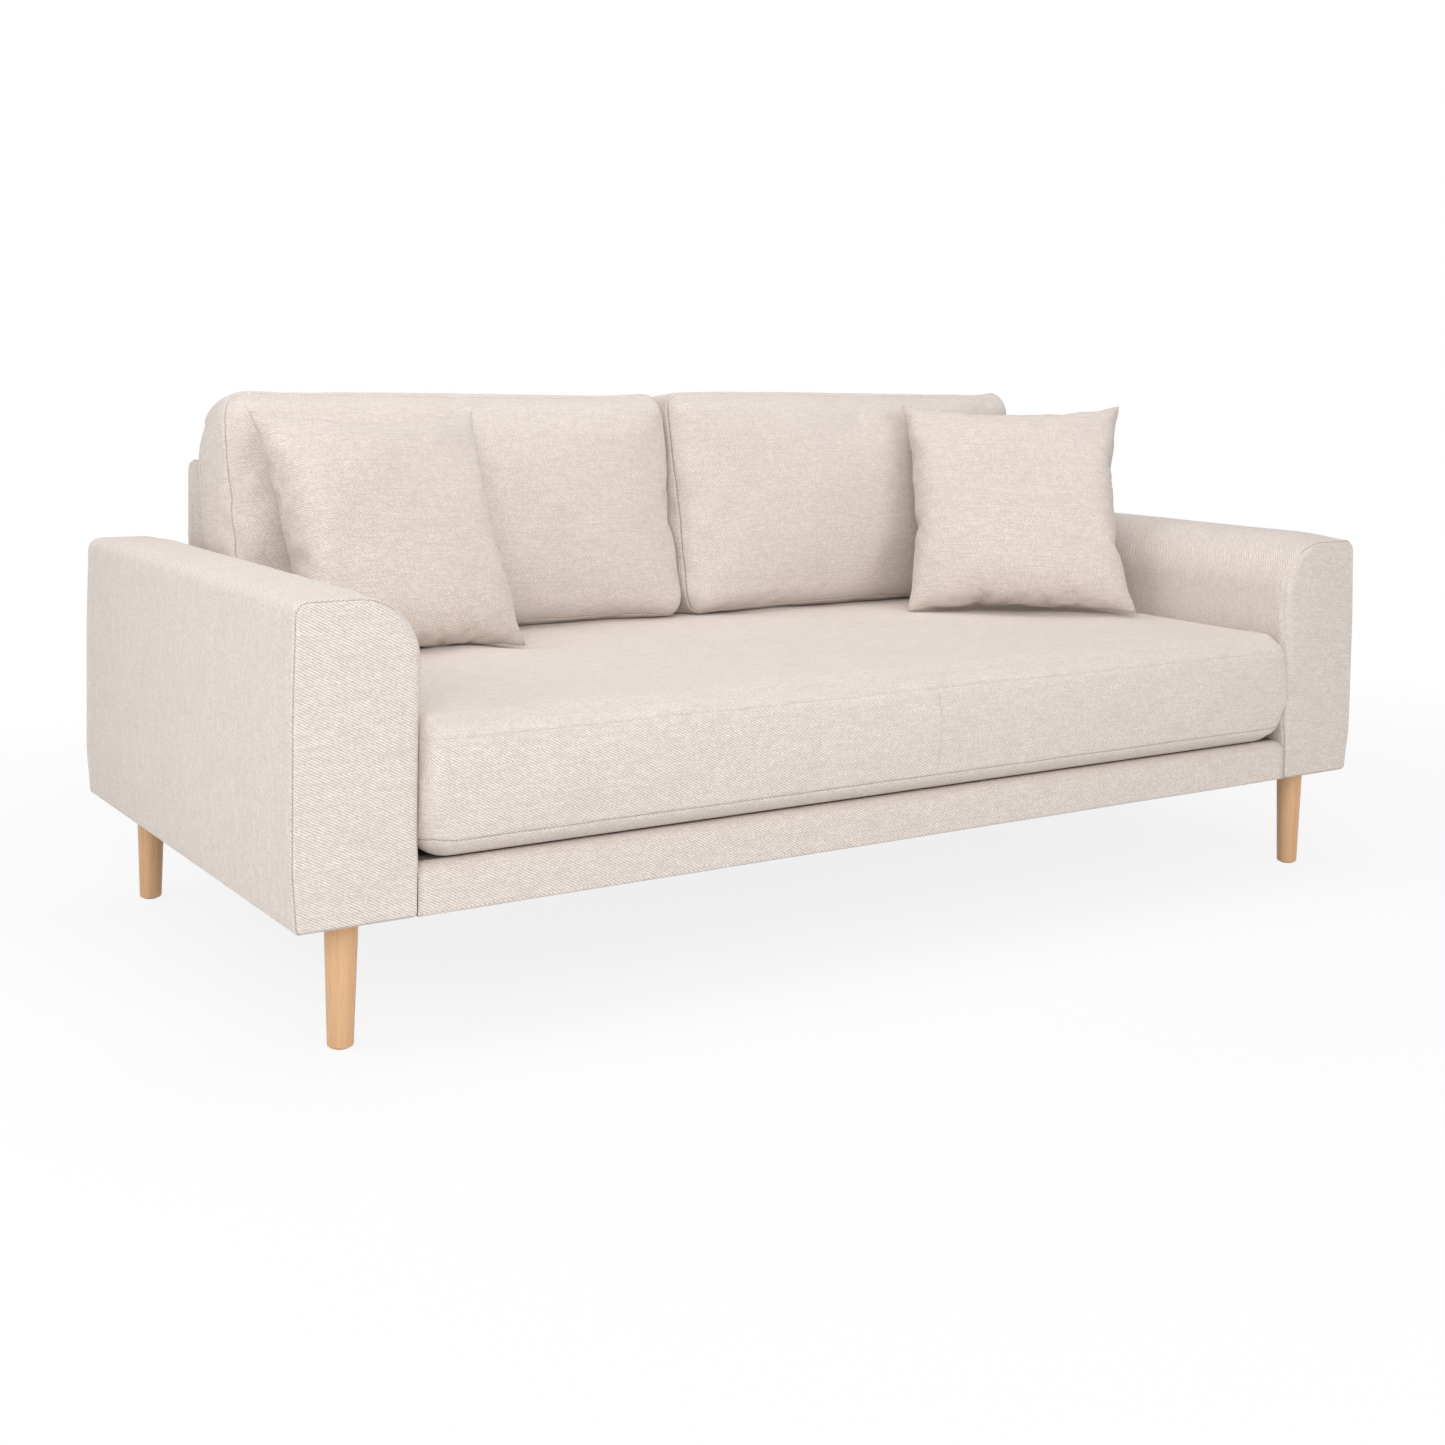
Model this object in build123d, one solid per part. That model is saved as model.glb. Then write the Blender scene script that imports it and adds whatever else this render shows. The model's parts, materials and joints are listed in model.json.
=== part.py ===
from build123d import *
import math
import os

# Three-seat sofa on turned wooden legs, in millimetres. X runs along the sofa, Y from the front to
# the back and Z up from the floor. Left and right are as seen from the front. The origin is on the
# floor, under the middle of the whole sofa.

# Body
WIDTH = 2100.0            # across the outsides of the two arms
DEPTH = 960.0             # from the fronts of the arms to the back
LEG_HEIGHT = 180.0        # floor to the underside of the body
ARM_HEIGHT = 620.0        # floor to the top of the arms
ARM_WIDTH = 176.0
ARM_ROUND_INNER = 100.0   # large rounding over the inner top edge
ARM_ROUND_OUTER = 20.0
ARM_ROUND_BOTTOM = 14.0
ARM_EDGE_FRONT = 7.0      # small rounding along the seam of the front panel
ARM_EDGE_REAR = 12.0
BACK_HEIGHT = 752.0       # floor to the top of the backrest
BACK_TOP = 80.0           # thickness of the backrest at its top
BACK_ROUND = 20.0
LEAN = 13.0               # degrees that the backrest's front leans back

# Clearances
FIT = 0.3                 # between pieces that lie against each other
HOLE_FIT = 0.5            # on the diameter of a hole around its bolt or nut
CUSHION_SIDE = 3.0        # from a cushion's end to the arm
CUSHION_SPLIT = 4.0       # between the two back cushions
CUSHION_REAR = 0.8        # from a cushion to the backrest

# Upholstery layers
COVER = 2.0               # woven cover
ARM_PAD_OUTER = 16.0
ARM_PAD_INNER = 34.0
ARM_PAD_TOP = 40.0
ARM_PAD_END = 16.0
BACK_PAD = 25.0
BACK_PAD_TOP = 24.0
BORDER_PAD = 4.0
BORDER_WRAP = 30.0        # how far the front border turns in over and under its rail
BORDER_ROUND = 8.0
DECK_CLOTH = 2.0
DUST_CLOTH = 1.0
WEB = 2.0                 # thickness of elastic webbing
WEB_WIDTH = 60.0
SEAT_STRAPS = 9
CROSS_STRAPS = 4
BACK_STRAPS = 9
STRAP_END = 6.0           # from the ends of the back straps to the foam around them

# Timber and board
BOARD = 18.0              # base, front and rear boards of the arm boxes
PANEL = 12.0              # sides and tops of the arm boxes
LINER = 3.0               # stiff board behind the back frame
RAIL = 38.0
RAIL_HEIGHT = 62.0
SIDE_RAIL = 28.0
STRETCHER = 30.0
STRETCHER_HEIGHT = 40.0
STRETCHERS = 2
BLOCK = 70.0              # short sides of the corner blocks
BLOCK_HEIGHT = 45.0
POST = 24.0
POSTS = 4
TOP_RAIL = 22.0

# Legs and their fixings
LEG_TOP = 47.0
LEG_FOOT = 36.0
LEG_EDGE = 4.0            # rounding at the foot
LEG_INSET = 60.0          # from the front or the back to the middle of a leg
GLIDE = 24.0
GLIDE_HEIGHT = 4.0
GLIDE_SHOWS = 1.5         # part of the glide that stands below the wood
LEG_BOLT = 8.0
LEG_BOLT_IN = 45.0        # length of the hanger bolt inside the leg
LEG_BOLT_OVER = 4.0       # length above the tee nut
TEE_BARREL = 10.0
TEE_FLANGE = 22.0
TEE_PLATE = 1.6

# Bolts that hold the arms and the back to the seat frame
BOLT = 8.0
BOLT_HEAD = 16.0
BOLT_HEAD_HEIGHT = 5.0
NUT = 16.0
NUT_HEIGHT = 7.0
BOLT_OVER = 3.0           # length past the nut
ARM_BOLTS = 3             # on each side
ARM_BOLT_INSET = 120.0    # from the ends of a side rail
BACK_BOLTS = 4
BACK_BOLT_INSET = 170.0

# Seat cushion
SEAT_PROUD = 10.0         # how far its front stands out past the arms
SEAT_BULGE = 8.0
SEAT_THICK = 196.0        # at its edges
SEAT_CROWN = 10.0
SEAT_ROUND_FOOT = 36.0
SEAT_ROUND_FRONT = 50.0
SEAT_ROUND_REAR = 25.0
SEAT_END = 20.0           # depth of the rounding at its two ends
SEAT_WADDING = 28.0       # between the cover and the foam core

# Back cushions, measured square to the backrest
CUSHION_HEIGHT = 413.0
CUSHION_EDGE = 128.0      # thickness at the ends
CUSHION_MIDDLE = 146.0    # thickness at the middle, before the crown
CUSHION_CROWN = 12.0
CUSHION_ROUND_FOOT = 50.0
CUSHION_ROUND_FRONT = 52.0
CUSHION_ROUND_TOP = 74.0
CUSHION_ROUND_REAR = 25.0
CUSHION_END = 30.0
CUSHION_SHOULDER = 130.0  # from the end to where the front is nearly full
CUSHION_WADDING = 30.0

# Scatter pillows, each standing on the tips of two of its corners
PILLOW = 436.0            # between the tips of two neighbouring corners
PILLOW_THICK = 128.0
PILLOW_SEAM = 4.0         # thickness at the sewn edge
PILLOW_DRAWN = 15.0       # how far each edge is drawn in at its middle
PILLOW_LEFT_SIDE = 242.0  # from the arm to the middle of the lower edge
PILLOW_LEFT_OUT = 141.0   # from the back cushions to the middle of the lower edge
PILLOW_LEFT_TURN = 7.5    # degrees, seen from above
PILLOW_LEFT_LEAN = 23.7   # degrees
PILLOW_RIGHT_SIDE = 281.0
PILLOW_RIGHT_OUT = 239.0
PILLOW_RIGHT_TURN = -36.6  # degrees
PILLOW_RIGHT_LEAN = 29.8  # degrees
FILLING_EDGE = 61.0       # from the pillow's outline to its filling
FILLING_CROWN = 28.0      # from the pillow's crown to its filling
FILLING_FLAT = 183.0      # across the flat faces of the filling

# Places that follow from the sizes
HALF = WIDTH / 2
INNER = HALF - ARM_WIDTH                    # inner face of the arms
FRONT = SEAT_PROUD - (DEPTH + SEAT_PROUD) / 2
REAR = FRONT + DEPTH
SLOPE = math.tan(math.radians(LEAN))
LEAN_COS = math.cos(math.radians(LEAN))
LEAN_SIN = math.sin(math.radians(LEAN))
RAIL_BASE = LEG_HEIGHT + COVER
RAIL_TOP = RAIL_BASE + RAIL_HEIGHT
BORDER_TOP = RAIL_TOP + BORDER_PAD + COVER
DECK = max(RAIL_TOP + 2 * WEB + DECK_CLOTH, BORDER_TOP)
BETWEEN = INNER - FIT                       # half the length of what stands between the arms
RAIL_FRONT = FRONT + COVER + BORDER_PAD


def back_front(z):
    """Y of the backrest's leaning front at a height."""
    return REAR - BACK_TOP - (BACK_HEIGHT - z) * SLOPE


BACK_FOOT = back_front(DECK)                # upright front of the backrest below the deck
RAIL_REAR = BACK_FOOT - FIT
LINER_FRONT = REAR - COVER - LINER
BACK_FRAME_TOP = BACK_HEIGHT - COVER - BACK_PAD_TOP
BACK_FRAME_HALF = BETWEEN - COVER
SEAT_BOTTOM = DECK + FIT
SEAT_EDGE = SEAT_BOTTOM + SEAT_THICK        # height of the seat's top edges
SEAT_FRONT = FRONT - SEAT_PROUD + SEAT_BULGE
CUSHION_FRONT = back_front(SEAT_EDGE) - (CUSHION_MIDDLE + CUSHION_REAR) / LEAN_COS
LEG_X = HALF - ARM_WIDTH / 2
LEG_PLACES = {
    "front_left": (-LEG_X, FRONT + LEG_INSET),
    "front_right": (LEG_X, FRONT + LEG_INSET),
    "rear_left": (-LEG_X, REAR - LEG_INSET),
    "rear_right": (LEG_X, REAR - LEG_INSET),
}


def block(x, y, z):
    """Box between two values along each axis."""
    size = [b - a for a, b in (x, y, z)]
    return Pos(sum(x) / 2, sum(y) / 2, sum(z) / 2) * Box(*size)


def both(value):
    """The same distance to each side of the middle."""
    return (-value, value)


def spread(count, reach):
    """Evenly spaced places from one end to the other."""
    return [reach * (2 * i / (count - 1) - 1) for i in range(count)]


def outline(plane, corners, radii, bulges=(0, 0, 0, 0, 0, 0)):
    """Face through the corners, each with its rounding, on sides that bow outwards by their bulge."""
    edges = []
    for start, end, bulge in zip(corners, corners[1:] + corners[:1], bulges):
        edges.append(SagittaArc(start, end, -bulge) if bulge else Line(start, end))
    face = make_face(edges)
    for corner, radius in zip(corners, radii):
        if radius > 0:
            face = fillet(face.vertices().sort_by_distance((*corner, 0))[0], radius)
    return plane * face


def along_x(face, half):
    """Solid from a face on the YZ plane, to the same length on each side of the middle."""
    return extrude(Pos(-half, 0, 0) * face, 2 * half, dir=(1, 0, 0))


def rod_x(diameter, x, y, z):
    return Pos(sum(x) / 2, y, z) * Rot(0, 90, 0) * Cylinder(diameter / 2, x[1] - x[0])


def rod_y(diameter, x, y, z):
    return Pos(x, sum(y) / 2, z) * Rot(90, 0, 0) * Cylinder(diameter / 2, y[1] - y[0])


def rod_z(diameter, x, y, z):
    return Pos(x, y, sum(z) / 2) * Cylinder(diameter / 2, z[1] - z[0])


def save(node, *shapes):
    """Write one node, made of one solid or of a group of like solids."""
    solids = [solid for shape in shapes for solid in shape.solids()]
    export_step(solids[0] if len(solids) == 1 else Compound(solids), f"parts/{node}.step")


# Legs, glides and the bolts that screw the legs to the arms
def leg(x, y):
    half_foot = LEG_FOOT / 2
    half_top = LEG_TOP / 2
    corners = [(0, GLIDE_SHOWS), (half_foot, GLIDE_SHOWS), (half_top, LEG_HEIGHT), (0, LEG_HEIGHT)]
    turned = revolve(outline(Plane.XZ, corners, (0, LEG_EDGE, 0, 0)), Axis.Z)
    turned -= rod_z(GLIDE + HOLE_FIT, 0, 0, (0, GLIDE_HEIGHT))
    turned -= rod_z(LEG_BOLT + HOLE_FIT, 0, 0, (LEG_HEIGHT - LEG_BOLT_IN, LEG_HEIGHT))
    return Pos(x, y, 0) * turned


def tee_nut(x, y):
    seat = RAIL_BASE + BOARD
    nut = rod_z(TEE_BARREL, x, y, (RAIL_BASE, seat))
    nut += rod_z(TEE_FLANGE, x, y, (seat, seat + TEE_PLATE))
    return nut - rod_z(LEG_BOLT + HOLE_FIT, x, y, (RAIL_BASE, seat + TEE_PLATE))


def leg_bolt(x, y):
    top = RAIL_BASE + BOARD + TEE_PLATE + LEG_BOLT_OVER
    return rod_z(LEG_BOLT, x, y, (LEG_HEIGHT - LEG_BOLT_IN, top))


# Bolts through the side rails into the arms, and through the rear rail into the back frame
BOLT_Z = RAIL_BASE + RAIL_HEIGHT / 2
SIDE_RAIL_Y = (RAIL_FRONT + RAIL, RAIL_REAR - RAIL)
SIDE_RAIL_X = (BETWEEN - SIDE_RAIL, BETWEEN)
BOX_X = (-HALF + COVER + ARM_PAD_OUTER, -INNER - COVER - ARM_PAD_INNER)
BOX_Y = (FRONT + COVER + ARM_PAD_END, REAR - COVER - ARM_PAD_END)
BOX_Z = (RAIL_BASE, ARM_HEIGHT - COVER - ARM_PAD_TOP)
ARM_BOLT_Y = [sum(SIDE_RAIL_Y) / 2 + step
              for step in spread(ARM_BOLTS, (SIDE_RAIL_Y[1] - SIDE_RAIL_Y[0]) / 2 - ARM_BOLT_INSET)]
BACK_BOLT_X = spread(BACK_BOLTS, BETWEEN - BACK_BOLT_INSET)
ARM_GRIP = (BOX_X[1] - PANEL, -SIDE_RAIL_X[0])      # what the left arm's bolts hold together
BACK_GRIP = (RAIL_REAR - RAIL, BACK_FOOT + COVER + RAIL)


def arm_bolt(y):
    """Left arm: the head is inside the seat frame and the nut inside the arm."""
    head = (ARM_GRIP[1], ARM_GRIP[1] + BOLT_HEAD_HEIGHT)
    shank = (ARM_GRIP[0] - NUT_HEIGHT - BOLT_OVER, ARM_GRIP[1])
    return rod_x(BOLT_HEAD, head, y, BOLT_Z) + rod_x(BOLT, shank, y, BOLT_Z)


def arm_nut(y):
    reach = (ARM_GRIP[0] - NUT_HEIGHT, ARM_GRIP[0])
    face = Plane.YZ.offset(reach[0]) * Pos(y, BOLT_Z) * RegularPolygon(NUT / 2, 6)
    return extrude(face, NUT_HEIGHT, dir=(1, 0, 0)) - rod_x(BOLT + HOLE_FIT, reach, y, BOLT_Z)


def arm_holes():
    """Room for the left arm's bolts."""
    return [rod_x(BOLT + HOLE_FIT, ARM_GRIP, y, BOLT_Z) for y in ARM_BOLT_Y]


def back_bolt(x):
    head = (BACK_GRIP[0] - BOLT_HEAD_HEIGHT, BACK_GRIP[0])
    shank = (BACK_GRIP[0], BACK_GRIP[1] + NUT_HEIGHT + BOLT_OVER)
    return rod_y(BOLT_HEAD, x, head, BOLT_Z) + rod_y(BOLT, x, shank, BOLT_Z)


def back_nut(x):
    reach = (BACK_GRIP[1], BACK_GRIP[1] + NUT_HEIGHT)
    face = Plane.XZ.offset(-reach[0]) * Pos(x, BOLT_Z) * RegularPolygon(NUT / 2, 6)
    return extrude(face, NUT_HEIGHT, dir=(0, 1, 0)) - rod_y(BOLT + HOLE_FIT, x, reach, BOLT_Z)


def back_holes():
    return [rod_y(BOLT + HOLE_FIT, x, BACK_GRIP, BOLT_Z) for x in BACK_BOLT_X]


# Arms: a box of boards and panels, foam around it, and a sewn cover over the foam
def arm_form(skin):
    """Left arm, drawn in on all sides by the thickness of what lies over it."""
    x = (-HALF + skin, -INNER - skin)
    z = (LEG_HEIGHT + skin, ARM_HEIGHT - skin)
    corners = [(x[0], z[0]), (x[1], z[0]), (x[1], z[1]), (x[0], z[1])]
    radii = [r - skin for r in (ARM_ROUND_BOTTOM, skin, ARM_ROUND_INNER, ARM_ROUND_OUTER)]
    face = outline(Plane.XZ.offset(-FRONT - skin), corners, radii)
    solid = extrude(face, DEPTH - 2 * skin, dir=(0, 1, 0))
    ends = solid.faces().sort_by(Axis.Y)
    for end, radius in ((ends[0], ARM_EDGE_FRONT - skin), (ends[-1], ARM_EDGE_REAR - skin)):
        solid = fillet(solid.edges().filter_by(lambda edge, end=end: on_face(edge, end)), radius)
    return solid


def on_face(edge, face):
    """Whether an edge lies in the plane of an end face."""
    return all(abs((edge @ t).Y - face.center().Y) < 1e-6 for t in (0, 0.5, 1))


def arm_cover():
    cover = arm_form(0) - arm_form(COVER)
    for y in (FRONT + LEG_INSET, REAR - LEG_INSET):
        cover -= rod_z(LEG_BOLT + HOLE_FIT, -LEG_X, y, (LEG_HEIGHT, RAIL_BASE))
    return cover - arm_holes()


def arm_pad():
    x, y, z = BOX_X, BOX_Y, BOX_Z
    box = block((x[0] - FIT, x[1] + FIT), (y[0] - FIT, y[1] + FIT), (LEG_HEIGHT, z[1] + FIT))
    return arm_form(COVER + FIT) - box - arm_holes()


def arm_box():
    """Boards and panels of the left arm, by name."""
    x, y, z = BOX_X, BOX_Y, BOX_Z
    inside_x = (x[0] + PANEL, x[1] - PANEL)
    inside_z = (z[0] + BOARD, z[1] - PANEL)
    base = block(x, y, (z[0], inside_z[0]))
    for leg_y in (FRONT + LEG_INSET, REAR - LEG_INSET):
        base -= rod_z(TEE_BARREL + HOLE_FIT, -LEG_X, leg_y, (z[0], inside_z[0]))
    return {
        "base_board": base,
        "top_board": block(x, y, (inside_z[1], z[1])),
        "outer_panel": block((x[0], inside_x[0]), y, inside_z),
        "inner_panel": block((inside_x[1], x[1]), y, inside_z) - arm_holes(),
        "front_board": block(inside_x, (y[0], y[0] + BOARD), inside_z),
        "rear_board": block(inside_x, (y[1] - BOARD, y[1]), inside_z),
    }


# Seat frame between the arms, with its webbing and cloths
def front_border():
    y = (FRONT, FRONT + BORDER_WRAP)
    corners = [(y[0], LEG_HEIGHT), (y[1], LEG_HEIGHT), (y[1], BORDER_TOP), (y[0], BORDER_TOP)]
    wrap = along_x(outline(Plane.YZ, corners, (BORDER_ROUND / 2, 0, 0, BORDER_ROUND)), BETWEEN)
    return wrap - block(both(BETWEEN), (RAIL_FRONT, y[1]), (RAIL_BASE, RAIL_TOP))


def front_rail():
    return block(both(BETWEEN), (RAIL_FRONT, RAIL_FRONT + RAIL), (RAIL_BASE, RAIL_TOP))


def rear_rail():
    rail = block(both(BETWEEN), (RAIL_REAR - RAIL, RAIL_REAR), (RAIL_BASE, RAIL_TOP))
    return rail - back_holes()


def side_rail():
    x = (-SIDE_RAIL_X[1], -SIDE_RAIL_X[0])
    return block(x, SIDE_RAIL_Y, (RAIL_BASE, RAIL_TOP)) - arm_holes()


def stretcher(x):
    z = (RAIL_BASE, RAIL_BASE + STRETCHER_HEIGHT)
    return block((x - STRETCHER / 2, x + STRETCHER / 2), SIDE_RAIL_Y, z)


def corner_block(side, y, turn):
    """Glued triangle in a corner of the seat frame; turn is 1 at the front and -1 at the rear."""
    x = side * SIDE_RAIL_X[0]
    corners = [(x, y), (x - side * BLOCK, y), (x, y + turn * BLOCK)]
    triangle = make_face(Polyline(*corners, close=True))
    return extrude(Pos(0, 0, RAIL_BASE) * triangle, BLOCK_HEIGHT, dir=(0, 0, 1))


WEB_Y = (FRONT + BORDER_WRAP + FIT, RAIL_REAR)


def seat_strap(x):
    return block((x - WEB_WIDTH / 2, x + WEB_WIDTH / 2), WEB_Y, (RAIL_TOP, RAIL_TOP + WEB))


def cross_strap(y):
    z = (RAIL_TOP + WEB, RAIL_TOP + 2 * WEB)
    return block(both(BETWEEN), (y - WEB_WIDTH / 2, y + WEB_WIDTH / 2), z)


def deck_cloth():
    base = RAIL_TOP + 2 * WEB
    return block(both(BETWEEN), WEB_Y, (base, base + DECK_CLOTH))


def dust_cover():
    y = (FRONT + BORDER_WRAP + FIT, RAIL_REAR)
    return block(both(BETWEEN), y, (RAIL_BASE - DUST_CLOTH, RAIL_BASE))


# Backrest between the arms: rails, posts, webbing, foam, a stiff liner and the cover
def back_line(skin, z):
    """Point at a height, on a line behind the backrest's front by the thickness of what covers it."""
    return (back_front(z) + skin / LEAN_COS, z)


def back_form(skin):
    """Backrest, drawn in on all sides by the thickness of what lies over it."""
    foot = BACK_FOOT + skin
    knee = DECK + (skin - skin / LEAN_COS) / SLOPE
    top = BACK_HEIGHT - skin
    corners = [
        (foot, LEG_HEIGHT + skin),
        (REAR - skin, LEG_HEIGHT + skin),
        (REAR - skin, top),
        back_line(skin, top),
        (foot, knee),
    ]
    rounding = BACK_ROUND - skin
    return along_x(outline(Plane.YZ, corners, (0, 0, rounding, rounding, 0)), BETWEEN - skin)


def back_cover():
    return back_form(0) - back_form(COVER) - back_holes()


def back_pad():
    """Foam over the front of the back frame and over its top rail."""
    skin = COVER + FIT
    top = BACK_HEIGHT - skin
    corners = [
        back_line(skin, DECK + FIT),
        back_line(COVER + BACK_PAD, DECK + FIT),
        back_line(COVER + BACK_PAD, BACK_FRAME_TOP),
        (REAR - skin, BACK_FRAME_TOP),
        (REAR - skin, top),
        back_line(skin, top),
    ]
    rounding = min(BACK_ROUND, BACK_PAD_TOP) - skin
    return along_x(outline(Plane.YZ, corners, (0, 0, 0, 0, rounding, rounding)), BACK_FRAME_HALF - FIT)


def back_rails():
    """The two lower rails of the back frame and its top rail, by name."""
    z = (RAIL_BASE, RAIL_TOP)
    foot = BACK_FOOT + COVER
    top_front = back_line(COVER + BACK_PAD + WEB, BACK_FRAME_TOP)[0]
    top_z = (BACK_FRAME_TOP - TOP_RAIL, BACK_FRAME_TOP)
    half = both(BACK_FRAME_HALF)
    return {
        "back_foot_rail": block(half, (foot, foot + RAIL), z) - back_holes(),
        "back_rear_rail": block(half, (LINER_FRONT - RAIL, LINER_FRONT), z),
        "back_top_rail": block(half, (top_front, LINER_FRONT), top_z),
    }


def back_post(x):
    """Board cut to the backrest's tapering side view."""
    layers = COVER + BACK_PAD + WEB
    top = BACK_FRAME_TOP - TOP_RAIL
    corners = [back_line(layers, RAIL_TOP), (LINER_FRONT, RAIL_TOP), (LINER_FRONT, top), back_line(layers, top)]
    return Pos(x, 0, 0) * along_x(outline(Plane.YZ, corners, (0, 0, 0, 0)), POST / 2)


def back_strap(x):
    lean = Plane(origin=(x, BACK_FOOT, DECK), x_dir=(1, 0, 0), z_dir=(0, -LEAN_COS, LEAN_SIN))
    reach = (STRAP_END, (BACK_FRAME_TOP - DECK) / LEAN_COS - STRAP_END - WEB)
    middle = -(COVER + BACK_PAD + WEB / 2)
    return lean * Pos(0, sum(reach) / 2, middle) * Box(WEB_WIDTH, reach[1] - reach[0], WEB)


def back_liner():
    return block(both(BACK_FRAME_HALF), (LINER_FRONT, REAR - COVER), (RAIL_BASE, BACK_FRAME_TOP))


# Seat cushion: a boxed cover, crowned on top, around a foam core
def seat_corners(inset):
    """Front foot, rear foot, rear top and front top of the seat cushion's side view."""
    bottom = SEAT_BOTTOM + inset
    top = SEAT_EDGE - inset
    rear = (CUSHION_REAR + inset) / LEAN_COS
    return [
        (SEAT_FRONT + inset, bottom),
        (back_front(bottom) - rear, bottom),
        (back_front(top) - rear, top),
        (SEAT_FRONT + inset, top),
    ]


def seat_top(y):
    """Height of the crowned top of the seat cushion."""
    rear, front = seat_corners(0)[2][0], seat_corners(0)[3][0]
    half = (rear - front) / 2
    radius = (half ** 2 + SEAT_CROWN ** 2) / (2 * SEAT_CROWN)
    return SEAT_EDGE + SEAT_CROWN - radius + math.sqrt(radius ** 2 - (y - (rear + front) / 2) ** 2)


def end_steps(reach, depth):
    """Sections of a rounded end: where each stands, and how far it is drawn in."""
    steps = [(0.0, 0.75), (0.06, 0.5), (0.3, 0.2), (1.0, 0.0)]
    return [(reach - along * depth, drawn * depth) for along, drawn in steps]


def mirrored(steps):
    """Sections from one end to the other, from those of one half."""
    return [(-x, *rest) for x, *rest in steps] + steps[::-1]


def seat_form():
    sections = []
    for x, inset in mirrored(end_steps(INNER - CUSHION_SIDE, SEAT_END)):
        rounds = (SEAT_ROUND_FOOT, SEAT_ROUND_REAR, SEAT_ROUND_REAR, SEAT_ROUND_FRONT)
        radii = [max(r - inset, r / 2) for r in rounds]
        bulges = (0, 0, SEAT_CROWN, SEAT_BULGE)
        sections.append(outline(Plane.YZ.offset(x), seat_corners(inset), radii, bulges))
    return loft(sections, ruled=True)


def seat_core(wadding):
    half = INNER - CUSHION_SIDE - wadding
    return along_x(outline(Plane.YZ, seat_corners(wadding), (0, 0, 0, 0)), half)


# Back cushions: boxed covers with a full front, leaning on the backrest, around foam cores
def cushion_base():
    """Height of the seat where the back cushions' flat undersides begin."""
    rounding = CUSHION_ROUND_FOOT / math.tan(math.radians(90 - LEAN) / 2)
    return seat_top(CUSHION_FRONT + rounding) + FIT


def cushion_corners(inset, thick):
    """Rear foot, rear top, front top and front foot of a back cushion's side view."""
    base = cushion_base()
    rear = CUSHION_REAR + inset
    front = CUSHION_REAR + thick - inset

    def place(up, out):
        return (back_front(base) + up * LEAN_SIN - out * LEAN_COS, base + up * LEAN_COS + out * LEAN_SIN)

    def foot(out):
        return place((inset - out * LEAN_SIN) / LEAN_COS, out)

    top = CUSHION_HEIGHT - inset
    return [foot(rear), place(top, rear), place(top, front), foot(front)]


def cushion_form(middle):
    half = (INNER - CUSHION_SIDE - CUSHION_SPLIT / 2) / 2
    steps = [(x, inset, CUSHION_EDGE, CUSHION_CROWN / 4) for x, inset in end_steps(half, CUSHION_END)]
    shoulder = (CUSHION_EDGE + 2 * CUSHION_MIDDLE) / 3
    steps.append((half - CUSHION_SHOULDER, 0.0, shoulder, CUSHION_CROWN * 3 / 4))
    steps.append((0.0, 0.0, CUSHION_MIDDLE, CUSHION_CROWN))
    sections = []
    for x, inset, thick, crown in mirrored(steps[:-1])[:len(steps) - 1] + steps[::-1]:
        rounds = (CUSHION_ROUND_REAR, CUSHION_ROUND_TOP, CUSHION_ROUND_FRONT, CUSHION_ROUND_FOOT)
        room = (thick - 2 * inset) / (CUSHION_ROUND_TOP + CUSHION_ROUND_FRONT)
        radii = [r * min(1.0, 0.9 * room) for r in rounds]
        corners = cushion_corners(inset, thick)
        sections.append(outline(Plane.YZ.offset(middle + x), corners, radii, (0, 0, crown, 0)))
    return loft(sections, ruled=True)


def cushion_core(middle, wadding):
    half = (INNER - CUSHION_SIDE - CUSHION_SPLIT / 2) / 2 - wadding
    core = along_x(outline(Plane.YZ, cushion_corners(wadding, CUSHION_EDGE), (0, 0, 0, 0)), half)
    return Pos(middle, 0, 0) * core


# Scatter pillows: two squares sewn edge to edge, with pointed corners, around a loose filling
def pillow_level(height, corner, edge):
    """One level of a pillow: corner and edge are the shares of its half width left at that height."""
    tip = PILLOW / 2 * corner
    side = (PILLOW / 2 - PILLOW_DRAWN) * edge
    tips = [(-tip, -tip), (tip, -tip), (tip, tip), (-tip, tip)]
    middles = [(0, -side), (side, 0), (0, side), (-side, 0)]
    arcs = [ThreePointArc(a, m, b) for a, m, b in zip(tips, middles, tips[1:] + tips[:1])]
    return Pos(0, 0, height) * make_face(arcs)


def pillow_form():
    """Crowned on both faces, lying flat around the origin."""
    seam = PILLOW_SEAM / 2
    rise = PILLOW_THICK / 2 - seam
    shares = [(0.0, 1.0, 1.0), (0.24, 0.87, 0.94), (0.5, 0.72, 0.84), (0.75, 0.53, 0.68), (0.93, 0.32, 0.45),
              (1.0, 0.12, 0.18)]
    crown = loft([pillow_level(seam + lift * rise, corner, edge) for lift, corner, edge in shares])
    edge = extrude(pillow_level(-seam, 1.0, 1.0), PILLOW_SEAM, dir=(0, 0, 1))
    return crown + edge + mirror(crown, about=Plane.XY)


def pillow_filling(gap):
    """Plain filling, tapered on both faces, grown by a gap on all sides."""
    wide = PILLOW / 2 - FILLING_EDGE + gap
    flat = FILLING_FLAT / 2 + gap
    rise = PILLOW_THICK / 2 - FILLING_CROWN + gap
    corners = [(-wide, 0), (-flat, -rise), (flat, -rise), (wide, 0), (flat, rise), (-flat, rise)]
    profile = make_face(Polyline(*corners, close=True))
    return extrude(Plane.XZ * profile, wide, both=True) & extrude(Plane.YZ * profile, wide, both=True)


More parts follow.
